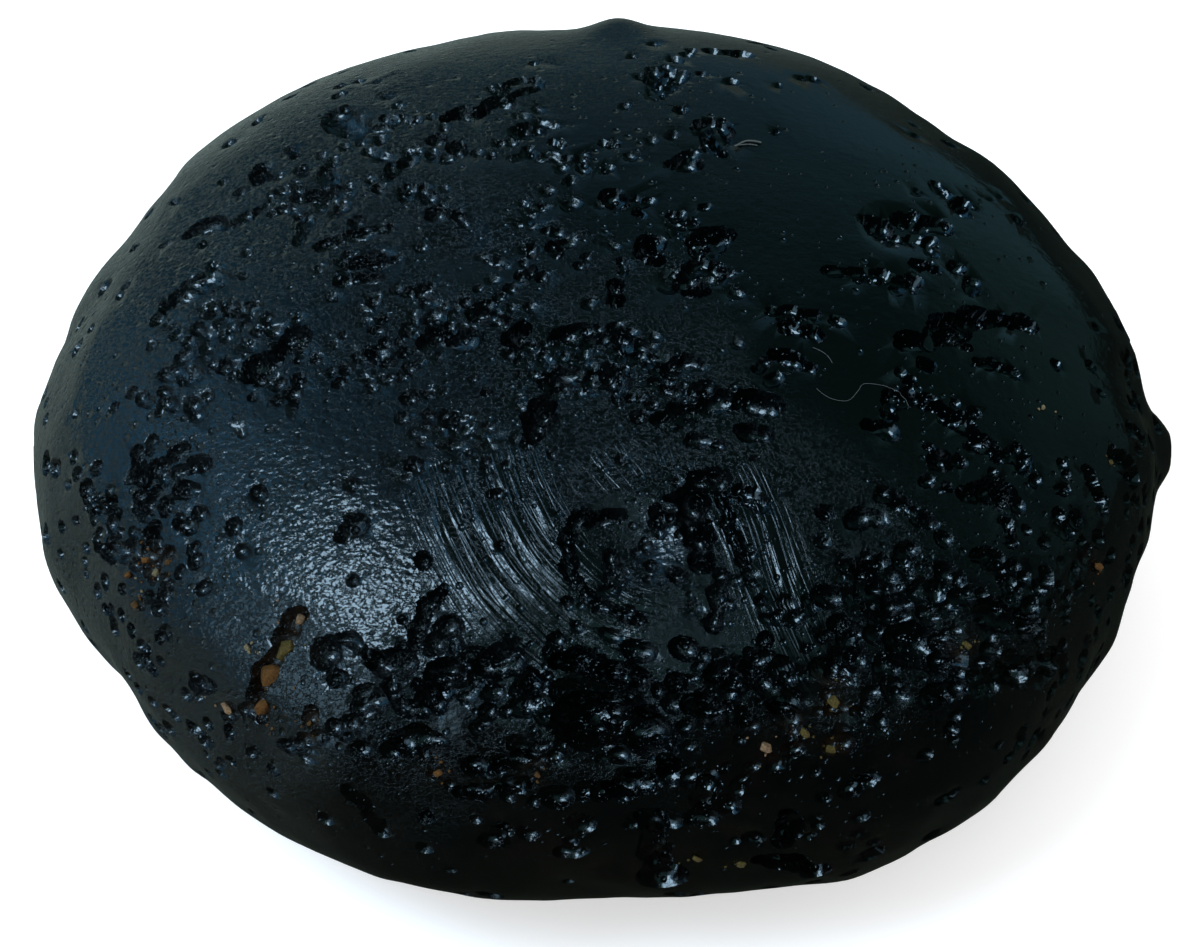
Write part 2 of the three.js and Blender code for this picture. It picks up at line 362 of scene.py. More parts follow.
SWIRL_GOUGES = [
    ([(3, -51.5), (-4, -52), (-5.3, -54), (-5, -58)], 0.85, 0.8),
    ([(-5, -58), (-2, -60.5), (0, -61.5), (5, -62.5)], 0.7, 0.6),
    ([(1, -56), (2, -59)], 0.9, 0.5),
    ([(15.5, -46), (18, -46)], 1.2, 1.0),
    ([(10.5, -49.5), (14, -48.5)], 0.8, 0.7),
    ([(14, -48), (14, -52), (14.5, -56.5)], 1.35, 1.5),
    ([(18, -46), (19, -51), (20.5, -55)], 0.7, 0.6),
    ([(11, -58)], 1.0, 0.5),
    ([(17, -57), (15, -62)], 0.9, 0.6),
    ([(21, -47), (24, -48)], 0.9, 0.5),
    ([(9, -52), (12, -51.5)], 1.0, 0.6),
]
SHOULDER_GOUGES = [
    ([(-41.5, -55), (-43, -57.5), (-46.5, -61.5)], 1.2, 0.8),
    ([(-46, -63), (-48, -62.5)], 1.1, 0.4),
    ([(-37.5, -60.5)], 1.6, 0.8),
    ([(-37, -59), (-34, -59.5), (-31, -62)], 0.8, 0.5),
    ([(-30.5, -62.5), (-27, -63.3)], 1.5, 1.1),
    ([(-26, -62), (-24.5, -59), (-23, -58)], 0.8, 0.7),
    ([(-29, -64), (-27.5, -67), (-24.5, -68.5), (-23, -66.5)], 1.0, 0.7),
    ([(-21.3, -65.5)], 1.7, 1.0),
    ([(-27.5, -59.3)], 0.8, 0.4),
    ([(-16.5, -66), (-13, -65.5)], 1.5, 0.8),
    ([(-11, -67), (-9, -68)], 1.2, 0.7),
    ([(-6, -66.5), (0, -67), (5, -68)], 1.3, 1.2),
    ([(-3, -71.5), (1, -72), (6, -72.5)], 2.9, 1.7),
    ([(9.5, -68)], 1.2, 0.7),
    ([(15, -66.5), (19, -66), (24, -67.5)], 1.7, 1.0),
    ([(12, -69.5), (19, -70.5)], 1.3, 0.8),
    ([(8, -73), (9, -76)], 1.2, 0.8),
    ([(36, -52), (38, -55)], 1.9, 0.8),
    ([(41, -57.5), (45, -58)], 2.3, 1.0),
    ([(43, -62), (46, -60)], 1.3, 0.6),
    ([(51, -51), (57, -50)], 1.7, 0.8),
    ([(60, -53), (64, -50)], 1.3, 0.6),
    ([(33, -60), (31, -63)], 1.5, 0.6),
    ([(52, -57), (55, -56)], 1.4, 0.6),
]
WALL_GOUGES = [
    ([(-27, -71), (-22, -71.5)], 1.5, 0.8),
    ([(-18, -74.5), (-9, -75)], 1.0, 0.6),
    ([(-20, -77), (-10, -77.5)], 0.9, 0.6),
    ([(-35, -74), (-33, -77), (-32, -80)], 0.9, 0.5),
    ([(-25, -79.5)], 0.9, 0.5),
    ([(2, -79), (5, -77.5)], 1.5, 0.8),
    ([(14, -79), (15, -77)], 1.6, 0.7),
    ([(25.5, -79.5), (26.3, -83)], 1.3, 0.9),
    ([(24, -86), (28, -85.5), (33, -86.5)], 1.5, 1.1),
    ([(7, -82), (8, -91)], 1.5, 0.8),
    ([(-6, -86), (-4, -86.5)], 1.1, 0.6),
    ([(-15, -82), (-11, -83)], 0.9, 0.4),
    ([(34, -73), (36, -72)], 0.8, 0.4),
]
HIDDEN_COUNT = 22
HIDDEN_POLAR = (84, 150)  # degrees from straight up, first and last
WALL_POLAR = 100  # where the wall ends and the belly begins, in the same degrees
GOLDEN_ANGLE = 137.5
HIDDEN_WIDTHS = (2.6, 1.8, 3.2, 2.2)
HIDDEN_DEPTH = 0.35  # in widths
BACK_CLEAR = 62  # degrees either side of +Y in which the wall gets none of these hollows

# Shallow dishes with soft edges: place, width and depth in mm.
DISHES = [
    ((-28, 3), 4.8, 0.35),
    ((13.5, -7), 2.2, 0.5),
    ((-41, 0), 3.4, 0.25),
    ((-42, 37), 3.4, 0.3),
    ((-22, 0), 5.0, 0.25),
    ((50, 11), 5.0, 0.4),
    ((4, -55), 6.0, 0.6),
    ((42, -55), 7.0, 0.5),
    ((1, -72), 7.0, 0.6),
    ((-12, -67), 5.0, 0.4),
]


def hidden_gouges():
    """Hollows of the belly and of the wall's other sides, on a spiral of even spacing."""
    first, last = HIDDEN_POLAR
    hollows = []
    for i in range(HIDDEN_COUNT):
        azimuth = (i * GOLDEN_ANGLE) % 360
        polar = first + (last - first) * (i + 0.5) / HIDDEN_COUNT
        from_back = abs((azimuth + 90) % 360 - 180)
        width = HIDDEN_WIDTHS[i % len(HIDDEN_WIDTHS)]
        if polar > WALL_POLAR or from_back > BACK_CLEAR:
            turn = math.radians(azimuth)
            place = (polar * math.cos(turn), polar * math.sin(turn))
            hollows.append(([place], width, HIDDEN_DEPTH * width))
    return hollows


ALL_GOUGES = (
    BACK_GOUGES + CROWN_GOUGES + LEFT_GOUGES + RIGHT_GOUGES
    + SWIRL_GOUGES + SHOULDER_GOUGES + WALL_GOUGES + hidden_gouges()
)

# ---- clusters of bubbles: place, spread in degrees, count, widths in mm ----
BUBBLE_CLUSTERS = [
    ((-50, 18), (9, 8), 70, (0.4, 1.1)),
    ((-59, -9), (5, 4), 80, (0.4, 1.0)),
    ((-58, -18), (5, 5), 50, (0.4, 1.1)),
    ((-45, 2), (7, 6), 40, (0.3, 0.9)),
    ((-43, -15), (8, 7), 60, (0.35, 0.8)),
    ((-38, -22), (9, 5), 70, (0.3, 0.9)),
    ((-28, -13), (9, 3), 50, (0.3, 0.9)),
    ((-10, -26), (6, 3), 130, (0.3, 0.8)),
    ((3, -24), (7, 4), 80, (0.3, 0.9)),
    ((-2, -33), (10, 3), 70, (0.3, 0.9)),
    ((-15, 14), (3, 5), 45, (0.3, 0.7)),
    ((-12, 0), (10, 6), 45, (0.3, 0.8)),
    ((7, 15), (5, 4), 30, (0.3, 0.9)),
    ((15, 8), (6, 6), 35, (0.3, 0.9)),
    ((24, -5), (3, 4), 25, (0.3, 0.8)),
    ((12, -31), (4, 3), 45, (0.3, 0.8)),
    ((-20, -41), (9, 4), 100, (0.3, 0.75)),
    ((-30, -33), (9, 5), 40, (0.3, 0.8)),
    ((-18, 30), (16, 8), 60, (0.3, 0.8)),
    ((-36, 30), (8, 9), 45, (0.4, 1.0)),
    ((26, 24), (6, 4), 35, (0.3, 0.7)),
    ((12, 49), (4, 3), 35, (0.4, 0.9)),
    ((6, 30), (8, 8), 25, (0.3, 0.8)),
    ((50, 6), (8, 6), 22, (0.3, 0.8)),
    ((52, -8), (8, 8), 20, (0.3, 0.8)),
    ((49, -28), (7, 7), 45, (0.3, 0.8)),
    ((34, -14), (5, 4), 25, (0.3, 0.8)),
    ((60, -34), (9, 8), 35, (0.3, 1.0)),
    ((-64, -34), (6, 6), 50, (0.5, 1.2)),
    ((-60, -45), (8, 6), 70, (0.35, 0.9)),
    ((5, -55), (7, 5), 40, (0.3, 0.8)),
    ((7, -47), (6, 3), 45, (0.25, 0.6)),
    ((-22, -66), (14, 5), 90, (0.3, 1.3)),
    ((-6, -71), (10, 4), 70, (0.3, 1.3)),
    ((12, -70), (12, 6), 90, (0.3, 1.4)),
    ((41, -55), (11, 7), 190, (0.3, 1.3)),
    ((56, -52), (8, 7), 80, (0.3, 1.2)),
    ((66, -40), (7, 9), 70, (0.3, 1.2)),
    ((-44, -67), (12, 6), 55, (0.3, 1.2)),
    ((-62, -58), (12, 8), 40, (0.3, 1.1)),
    ((10, -80), (28, 6), 80, (0.3, 1.4)),
    ((28, -66), (8, 6), 70, (0.3, 1.2)),
    ((-78, -10), (7, 30), 30, (0.4, 1.3)),
    ((79, -6), (6, 30), 70, (0.4, 1.2)),
    ((22, -57), (5, 6), 60, (0.3, 0.7)),
    ((-40, -31), (15, 7), 130, (0.2, 0.5)),
    ((-22, -36), (10, 6), 70, (0.2, 0.5)),
    ((-58, -2), (8, 14), 100, (0.2, 0.5)),
    ((0, -40), (12, 4), 60, (0.2, 0.5)),
]
SCATTER_COUNT = 3400
SCATTER_WIDTHS = (0.24, 1.3)
CARVED_WIDTH = 0.55  # bubbles under this many mm are relief in the glass material instead
# Stretches of nearly bare skin: place, reach in degrees, share of the bubbles left out there.
BARE_STRETCHES = [
    ((33, 12), (10, 22), 0.9),
    ((36, 42), (14, 14), 0.8),
    ((-22, 20), (8, 6), 0.9),
    ((36, -28), (12, 14), 0.8),
    ((28, -40), (12, 8), 0.7),
    ((-38, -53), (15, 9.5), 0.97),
    ((-48, -38), (13, 9), 0.45),
    ((-20, 56), (20, 8), 0.7),
    ((-15, -58), (9, 6), 0.6),
    ((64, 6), (6, 12), 0.6),
    ((-38, -80), (24, 8), 0.75),
    ((0, -90), (40, 7), 0.5),
]
BELLY_FROM = -0.2  # height of the belly's edge on a ball of radius 1
BELLY_LEFT_OUT = 0.6
BUBBLE_SEED = 11
CLUSTER_SPREAD = 0.62  # standard deviation of a cluster's bubbles over its spread
CLUSTER_RARITY = 2.3  # the higher, the rarer large bubbles are in a cluster
SCATTER_REACH = (31, 29, 14)
SCATTER_RANGE = 0.86
SCATTER_RARITY = 0.75
BUBBLE_STRETCH = 0.7
BUBBLE_LEAN = 0.6  # radians from the X axis
BUBBLE_DEPTHS = (0.42, 0.78)  # in widths


def left_out(place, random):
    for middle, reach, share in BARE_STRETCHES:
        east = (place[0] - middle[0]) / reach[0]
        north = (place[1] - middle[1]) / reach[1]
        if east * east + north * north < 1 and random.random() < share:
            return True
    return False


def bubble_bowls():
    """The many bubbles, large ones rare, each as (centre, width, depth, stretch, lean)."""
    random = np.random.default_rng(BUBBLE_SEED)
    ways = []
    widths = []
    for place, spread, count, (small, large) in BUBBLE_CLUSTERS:
        for _ in range(count):
            east = place[0] + spread[0] * CLUSTER_SPREAD * random.normal()
            north = place[1] + spread[1] * CLUSTER_SPREAD * random.normal()
            width = small + (large - small) * random.random() ** CLUSTER_RARITY
            if width >= CARVED_WIDTH and not left_out((east, north), random):
                ways.append(direction_of((east, north)))
                widths.append(width)
    for _ in range(SCATTER_COUNT):
        way = random.normal(size=3) * SCATTER_REACH
        way = way / np.linalg.norm(way)
        polar = math.degrees(math.acos(way[2]))
        turn = math.atan2(way[1], way[0])
        width = SCATTER_WIDTHS[0] / (1 - random.random() * SCATTER_RANGE) ** SCATTER_RARITY
        below = way[2] < BELLY_FROM
        if width < CARVED_WIDTH or below and random.random() < BELLY_LEFT_OUT:
            continue
        if left_out((polar * math.cos(turn), polar * math.sin(turn)), random):
            continue
        ways.append(way)
        widths.append(min(width, SCATTER_WIDTHS[1]))
    bowls = []
    for point, width in zip(skin_at(np.array(ways)), widths):
        stretch = 1 + BUBBLE_STRETCH * random.random() ** 2
        lean = random.uniform(-BUBBLE_LEAN, BUBBLE_LEAN)
        bowls.append((point, width, width * random.uniform(*BUBBLE_DEPTHS), stretch, lean))
    return bowls


GOUGE_SEED = 23
LINK_STEP = 0.18  # spacing of the bowls that make up a furrow, in widths
LINK_WIDTH = 0.84  # a bowl's own width, and how much it swells and narrows, in widths
SWELLING = 0.20
LINK_DEPTH = 1.05  # the same for its depth, in depths
DEEPENING = 0.2
SWELL_PACES = (0.45, 0.8)  # radians from one bowl to the next
DEEP_LAG = 1.7  # the deep stretches don't fall on the wide ones
WANDER = 0.08  # how far its bowls stray to the sides, in widths
LINK_STRETCH = 0.2  # at most
LINKS_PER_BUBBLE = 7  # bowls of the furrow for each bubble along its edge
EDGE_BUBBLE_REACH = (0.42, 0.7)  # from the furrow's middle, in widths
EDGE_BUBBLE_WIDTHS = (0.28, 0.5)  # in widths of the furrow
EDGE_BUBBLE_DEPTH = 0.6  # in widths of its own
EDGE_BUBBLE_STRETCH = 1.1


def gouge_bowls():
    """Each gouge is a furrow that swells and narrows, with a few bubbles along its edge."""
    random = np.random.default_rng(GOUGE_SEED)
    bowls = []
    for places, width, depth in ALL_GOUGES:
        knots = places_at(places)
        row = [knots[0]]
        for a, b in zip(knots[:-1], knots[1:]):
            steps = max(1, round(np.linalg.norm(b - a) / (LINK_STEP * width)))
            row += [a + (b - a) * (k + 1) / steps for k in range(steps)]
        phase = random.uniform(0, math.tau)
        pace = random.uniform(*SWELL_PACES)
        for k, point in enumerate(row):
            size = width * (LINK_WIDTH + SWELLING * math.sin(phase + pace * k))
            shift = random.normal(size=3) * WANDER * width
            deep = depth * (LINK_DEPTH + DEEPENING * math.sin(DEEP_LAG * phase + pace * k))
            bowls.append((point + shift, size, deep, 1 + LINK_STRETCH * random.random(), 0))
        for _ in range(1 + len(row) // LINKS_PER_BUBBLE):
            point = row[random.integers(len(row))]
            shift = random.normal(size=3)
            reach = width * random.uniform(*EDGE_BUBBLE_REACH)
            size = width * random.uniform(*EDGE_BUBBLE_WIDTHS)
            centre = point + shift / np.linalg.norm(shift) * reach
            bowls.append((centre, size, EDGE_BUBBLE_DEPTH * size, EDGE_BUBBLE_STRETCH, 0))
    return bowls


# ---- flow lines: bands of fine furrows that follow a guide across the skin ----
FLOW_BANDS = [  # guide places, half width in mm on each side, number of carved furrows
    ([(-23, -40), (-20, -46), (-17, -51), (-12, -57), (-6, -61.5), (1, -65), (9, -66)], 4.6, 30),
    ([(19, -43), (22, -50), (24, -57), (27, -63), (31, -67)], 2.4, 14),
    ([(11, -40), (12, -44), (13, -48)], 1.8, 6),
    ([(-1, -41), (2, -45), (6, -49)], 1.6, 6),
]
FLOW_SEED = 5
FLOW_FADE = 2.5  # mm over which a band fades at each end
FLOW_CORE = 0.55  # share of a band's half width at full strength
FLOW_FAINTEST = 0.01
FLOW_SWAY = ((3.5, 0.35, 31), (1.2, 0.10, 32))  # wavelength and amount in mm, seed
FURROW_WIDTHS = (0.16, 0.3)
FURROW_DEPTHS = (0.02, 0.06)
FURROW_LENGTHS = (0.15, 0.4)  # half of a furrow's length over the band's
GUIDE_STEPS = 12
RIDGE_HALF_WIDTH = 0.19
RIDGE_FADE = 1.0  # mm over which a ridge rises at one end and sinks at the other
RIDGES = [  # band, mm across its guide, from and to along it in mm, height in mm
    (0, -2.6, 3.0, 13.0, 0.13),
    (0, -0.6, 3.5, 11.5, 0.12),
    (0, 0.7, 4.5, 9.0, 0.10),
    (0, -1.7, 7.5, 14.0, 0.10),
    (0, 2.4, 4.0, 7.0, 0.08),
    (1, 0.4, 2.0, 9.0, 0.09),
    (1, 1.3, 4.0, 8.0, 0.08),
]


def guide_curve(places):
    """A smooth curve on the skin through the places, with the distance along it."""
    points = places_at(smooth_line(places, GUIDE_STEPS))
    steps = np.linalg.norm(np.diff(points, axis=0), axis=1)
    return points, np.concatenate([[0], np.cumsum(steps)])


def flow_field(points, normals):
    """For every point, mm across and along the nearest flow band, its strength and number."""
    across = np.zeros(len(points))
    along = np.zeros(len(points))
    strength = np.zeros(len(points))
    number = np.full(len(points), -1)
    for index, (places, half, _) in enumerate(FLOW_BANDS):
        curve, run = guide_curve(places)
        middle = curve.mean(axis=0)
        reach = np.abs(curve - middle).max() + half + 1
        near = np.flatnonzero(np.abs(points - middle).max(axis=1) < reach)
        p = points[near]
        best = np.full(len(near), math.inf)
        side = np.zeros(len(near))
        place = np.zeros(len(near))
        for k in range(len(curve) - 1):
            way = curve[k + 1] - curve[k]
            length = run[k + 1] - run[k]
            way = way / length
            gap = p - curve[k]
            t = np.clip(gap @ way, 0, length)
            off = gap - t[:, None] * way
            far = (off * off).sum(axis=1)
            closer = far < best
            best[closer] = far[closer]
            place[closer] = run[k] + t[closer]
            turn = (np.cross(way, off[closer]) * normals[near][closer]).sum(axis=1)
            side[closer] = np.where(turn > 0, 1, -1)
        off = np.sqrt(best)
        power = 1 - smooth(FLOW_CORE * half, half, off)
        power = power * smooth(0, FLOW_FADE, place)
        power = power * (1 - smooth(run[-1] - FLOW_FADE, run[-1], place))
        take = power > strength[near]
        chosen = near[take]
        across[chosen] = (side * off)[take]
        along[chosen] = place[take]
        strength[chosen] = power[take]
        number[chosen] = index
    return across, along, strength, number


def flow_depth(points, normals):
    """The furrows and ridges of the flow bands as depth in mm."""
    across, along, strength, number = flow_field(points, normals)
    random = np.random.default_rng(FLOW_SEED)
    depth = np.zeros(len(points))
    sway = noise_about(0, points, FLOW_SWAY)
    for index, (_, half, count) in enumerate(FLOW_BANDS):
        inside = np.flatnonzero((number == index) & (strength > FLOW_FAINTEST))
        u = across[inside] + sway[inside]
        s = along[inside]
        length = s.max()
        carved = np.zeros(len(inside))
        for _ in range(count):
            offset = random.uniform(-half, half)
            middle = random.uniform(0, length)
            reach = random.uniform(*FURROW_LENGTHS) * length
            width = random.uniform(*FURROW_WIDTHS)
            deep = random.uniform(*FURROW_DEPTHS)
            fade = np.clip(1 - np.abs(s - middle) / reach, 0, 1) ** 0.5
            off = (u - offset) / width
            carved = np.maximum(carved, deep * fade * np.clip(1 - off * off, 0, 1))
        for band, offset, first, last, height in RIDGES:
            if band == index:
                rise = smooth(first, first + RIDGE_FADE, s)
                fade = rise * (1 - smooth(last - RIDGE_FADE, last, s))
                off = (u - offset) / RIDGE_HALF_WIDTH
                carved = carved - height * fade * np.clip(1 - off * off, 0, 1)
        depth[inside] = carved * strength[inside]
    return depth


# ---- carving ----
OUTLINE_SHIFTS = ((2.2, 0.17, 41), (0.8, 0.06, 44))  # wavelength and amount in mm, seed
SWELL_MIDDLE = 0.04  # mm, and noise about it as above
SWELLS = ((9.0, 0.08, 51), (3.0, 0.040, 52))
RIM_LUMP_MIDDLE = -0.06
RIM_LUMPS = ((4.0, 0.34, 55), (1.8, 0.12, 56))
GOUGE_UNEVEN = ((1.3, 0.08, 54),)  # its amount is a share of the depth
SMALL_SHALLOWER = 0.8  # bubbles keep this share of their depth
PIT_FULL_DEPTH = 0.35  # mm of depth at which the pit mark is full
STEEP_FROM = 0.95  # bowls deeper than this many mm have steep walls
STEEP_WALL = 0.3
ROUND_WALL = 0.5
DISH_WALL = 1.5
SEARCH_SLACK = 0.2  # how far beyond its edge a bowl is looked for, in depths
RIM_FROM = (62, 82)  # degrees from straight up over which the rim's lumps set in
RIM_TO = (118, 140)  # and those over which they end


def carve_dishes(points):
    """How deep the shallow dishes go at each point."""
    depth = np.zeros(len(points))
    for place, width, deep in DISHES:
        gap = points - places_at([place])
        off = (gap * gap).sum(axis=1) / (width / 2) ** 2
        depth = np.maximum(depth, deep * np.clip(1 - off, 0, 1) ** DISH_WALL)
    return depth


def carve_bowls(tree, points, normals, bowls):
    """How deep the bowls go at each point: the deepest of them wins."""
    depth = np.zeros(len(points))
    for centre, width, deep, stretch, lean in bowls:
        found = tree.find_range(centre.tolist(), width / 2 * stretch + deep * SEARCH_SLACK)
        if not found:
            continue
        near = np.array([item[1] for item in found])
        gap = points[near] - centre
        n = normals[near]
        gap = gap - (gap * n).sum(axis=1, keepdims=True) * n
        along = gap @ np.array([math.cos(lean), math.sin(lean), 0])
        square = (gap * gap).sum(axis=1) - along * along * (1 - 1 / stretch ** 2)
        off = square / (width / 2) ** 2
        power = STEEP_WALL if deep > STEEP_FROM else ROUND_WALL
        depth[near] = np.maximum(depth[near], deep * np.clip(1 - off, 0, 1) ** power)
    return depth


def swells(points, ways):
    """The slow swells of the skin and the lumps of its rim, as depth in mm."""
    polar = np.degrees(np.arccos(np.clip(ways[:, 2], -1, 1)))
    rim = smooth(*RIM_FROM, polar) * (1 - smooth(*RIM_TO, polar))
    lumps = noise_about(RIM_LUMP_MIDDLE, points, RIM_LUMPS)
    return noise_about(SWELL_MIDDLE, points, SWELLS) + rim * lumps


def store(mesh, name, values, kind="FLOAT", field="value"):
    """Keeps values on the mesh under a name, for the glass material to read."""
    mark = mesh.attributes.new(name, kind, "POINT")
    mark.data.foreach_set(field, values.astype(np.float32).ravel())


def put_in(name, data):
    """An object with this data, linked into the scene."""
    piece = bpy.data.objects.new(name, data)
    bpy.context.scene.collection.objects.link(piece)
    return piece


def mesh_of(name, verts, faces):
    mesh = bpy.data.meshes.new(name)
    mesh.from_pydata(verts, [], faces)
    mesh.update()
    return mesh


def ball_mesh():
    shape = bmesh.new()
    bmesh.ops.create_icosphere(shape, subdivisions=BALL_LEVEL, radius=1.0)
    mesh = bpy.data.meshes.new("tektite_skin")
    shape.to_mesh(mesh)
    shape.free()
    return mesh


def gathered(ways):
    """Unit directions drawn towards CLOSE_PLACE, so that the mesh is finest there."""
    focus = direction_of(CLOSE_PLACE)
    lean = ways @ focus
    stretch = 1 / math.sqrt(1 - CLOSE_PULL ** 2)
    moved = ways + ((stretch - 1) * lean + stretch * CLOSE_PULL)[:, None] * focus
    return unit(moved)


def vertex_points(mesh):
    flat = np.empty(len(mesh.vertices) * 3, dtype=np.float32)
    mesh.vertices.foreach_get("co", flat)
    return flat.reshape(-1, 3).astype(float)


def carved_skin():
    """The whole carved stone as one dense mesh, in metres."""
    mesh = ball_mesh()
    ways = gathered(vertex_points(mesh))
    ways = unit(ways * (RIM_RADII.mean(), RIM_RADII.mean(), CROWN_RISE))
    points = skin_at(ways)
    normals = skin_normals(ways)
    warped = points
    for wavelength, amount, seed in OUTLINE_SHIFTS:
        warped = noise_shift(warped, wavelength, amount, seed)
    tree = kdtree.KDTree(len(warped))
    for i, point in enumerate(warped.tolist()):
        tree.insert(point, i)
    tree.balance()
    large = carve_bowls(tree, warped, normals, gouge_bowls())
    small = carve_bowls(tree, warped, normals, bubble_bowls())
    depth = large * noise_about(1, points, GOUGE_UNEVEN) + SMALL_SHALLOWER * small
    store(mesh, "pit", np.clip(depth / PIT_FULL_DEPTH, 0, 1))
    depth = depth + carve_dishes(points) + flow_depth(points, normals) + swells(points, ways)
    points = points - depth[:, None] * normals
    low, high = np.array(cad_box) / MM
    points = np.clip(points, low, high)
    mesh.vertices.foreach_set("co", (points * MM).astype(np.float32).ravel())
    mesh.update()
    return mesh


def thinned(mesh, triangles):
    """The mesh with fewer triangles, the flat stretches first."""
    dense = put_in("dense_skin", mesh)
    fewer = dense.modifiers.new("fewer", "DECIMATE")
    fewer.ratio = triangles / len(mesh.polygons)
    graph = bpy.context.evaluated_depsgraph_get()
    result = bpy.data.meshes.new_from_object(dense.evaluated_get(graph))
    inside = np.clip(vertex_points(result), cad_box[0], cad_box[1])
    result.vertices.foreach_set("co", inside.astype(np.float32).ravel())
    bpy.data.objects.remove(dense)
    bpy.data.meshes.remove(mesh)
    return result


# ---- soil: place, length, breadth and height in mm, tint ----
ORANGE = (0.068, 0.030, 0.006)
BROWN = (0.050, 0.026, 0.008)
OLIVE = (0.052, 0.040, 0.010)
PALE = (0.115, 0.100, 0.055)
PINK = (0.125, 0.082, 0.046)
GRAINS = [
    ((-41.6, -55.3), 0.6, 0.6, 0.5, PINK),
    ((-42.9, -58.2), 1.3, 1.1, 0.9, OLIVE),
    ((-44.6, -60.2), 1.6, 1.3, 0.9, ORANGE),
    ((-46.2, -62.8), 1.1, 0.8, 0.6, ORANGE),
    ((-51.0, -61.3), 0.8, 0.5, 0.5, PINK),
    ((-47.6, -56.2), 0.4, 0.4, 0.3, PALE),
    ((-22.3, -74.6), 0.5, 0.4, 0.4, ORANGE),
    ((-39.3, -66.2), 0.4, 0.3, 0.3, BROWN),
    ((30.4, -66.0), 0.8, 0.6, 0.5, OLIVE),
    ((26.8, -69.8), 0.7, 0.6, 0.5, OLIVE),
    ((21.8, -72.3), 0.7, 0.6, 0.5, PINK),
    ((30.4, -70.9), 0.6, 0.6, 0.4, OLIVE),
    ((14.2, -87.0), 0.6, 0.5, 0.25, OLIVE),
    ((20.9, -87.0), 0.6, 0.5, 0.25, OLIVE),
    ((69.8, -37.5), 0.6, 0.5, 0.4, ORANGE),
    ((47.6, -55.6), 0.5, 0.4, 0.4, OLIVE),
    ((63.2, -20.0), 0.3, 0.3, 0.3, PALE),
    ((71.4, -22.6), 0.3, 0.3, 0.3, OLIVE),
    ((-9.0, -76.4), 0.4, 0.3, 0.3, BROWN),
    ((-63.0, -40.2), 0.6, 0.5, 0.4, ORANGE),
    ((-62.0, -42.2), 0.5, 0.5, 0.4, PALE),
    ((-60.0, -42.0), 0.6, 0.5, 0.4, BROWN),
    ((-65.0, -41.0), 0.5, 0.4, 0.4, ORANGE),
    ((-64.0, -45.0), 0.5, 0.4, 0.4, BROWN),
]
CRUMBS_EACH = 4
CRUMB_SIZES = (0.10, 0.22)
CRUMB_REACH = 0.2  # mm beyond the grain's own half length
GRAIN_SINK = 0.25  # how much of a grain's height lies below the skin
SOIL_SEED = 17
GRAIN_CORNERS = 16
CORNER_SPREAD = 0.75  # under 1, the corners are more like a box's than a ball's
EDGE_WEAR = 0.07  # in heights of the grain
EDGE_FULLNESS = 0.6
FALL_REACH = 4.0  # mm
CRUMB_SHAPE = (1.0, 0.8, 0.7)
DUSTY_GRAIN = 0.35  # grains at least this long have dust about them


def surface_finder(mesh):
    """Finds the carved skin's point and normal nearest to a point, in mm."""
    points = [vertex.co / MM for vertex in mesh.vertices]
    faces = [tuple(face.vertices) for face in mesh.polygons]
    return BVHTree.FromPolygons(points, faces)


def fallen(finder, above, outward):
    """Where something let fall onto the stone comes to lie, and which way is up for it."""
    point, normal, _, _ = finder.ray_cast(above + outward, -outward, FALL_REACH)
    if point is None:
        point, normal, _, _ = finder.find_nearest(above)
    return point, (normal + 2 * outward).normalized()


def grain_list(finder):
    """Where each grain and crumb lies: point, normal, sizes and tint."""
    random = np.random.default_rng(SOIL_SEED)
    found = []
    for place, length, breadth, height, tint in GRAINS:
        above = Vector(places_at([place])[0])
        outward = Vector(skin_normals(np.array([direction_of(place)]))[0])
        point, normal = fallen(finder, above, outward)
        found.append((point, normal, (length, breadth, height), tint))
        for _ in range(CRUMBS_EACH):
            shift = Vector(random.normal(size=3) * (0.5 * length + CRUMB_REACH))
            near, up = fallen(finder, above + shift, outward)
            size = random.uniform(*CRUMB_SIZES)
            found.append((near, up, tuple(size * share for share in CRUMB_SHAPE), tint))
    return found


def soil_mesh(grains):
    """Angular grains: each is the hull of a few random points, its edges worn a little."""
    random = np.random.default_rng(SOIL_SEED + 1)
    verts = []
    faces = []
    tints = []
    for point, normal, sizes, tint in grains:
        corners = unit(random.normal(size=(GRAIN_CORNERS, 3)))
        corners = np.sign(corners) * np.abs(corners) ** CORNER_SPREAD
        spin = Matrix.Rotation(random.uniform(0, math.tau), 3, "Z")
        turn = normal.to_track_quat("Z", "Y").to_matrix() @ spin
        lift = (0.5 - GRAIN_SINK) * sizes[2]
        shape = bmesh.new()
        for corner in corners:
            shape.verts.new(point + normal * lift + turn @ Vector(corner * np.array(sizes) / 2))
        hull = bmesh.ops.convex_hull(shape, input=shape.verts)
        inner = [item for item in hull["geom_interior"] if isinstance(item, bmesh.types.BMVert)]
        bmesh.ops.delete(shape, geom=inner, context="VERTS")
        bmesh.ops.bevel(shape, geom=list(shape.edges), offset=EDGE_WEAR * sizes[2], segments=2,
                        profile=EDGE_FULLNESS, affect="EDGES", clamp_overlap=True)
        bmesh.ops.recalc_face_normals(shape, faces=shape.faces)
        shape.verts.index_update()
        start = len(verts)
        verts += [tuple(vertex.co * MM) for vertex in shape.verts]
        faces += [tuple(start + vertex.index for vertex in face.verts) for face in shape.faces]
        tints += [tint + (1.0,)] * len(shape.verts)
        shape.free()
    mesh = mesh_of("soil_grains", verts, faces)
    colours = mesh.color_attributes.new("tint", "FLOAT_COLOR", "POINT")
    colours.data.foreach_set("color", np.array(tints, dtype=np.float32).ravel())
    return mesh


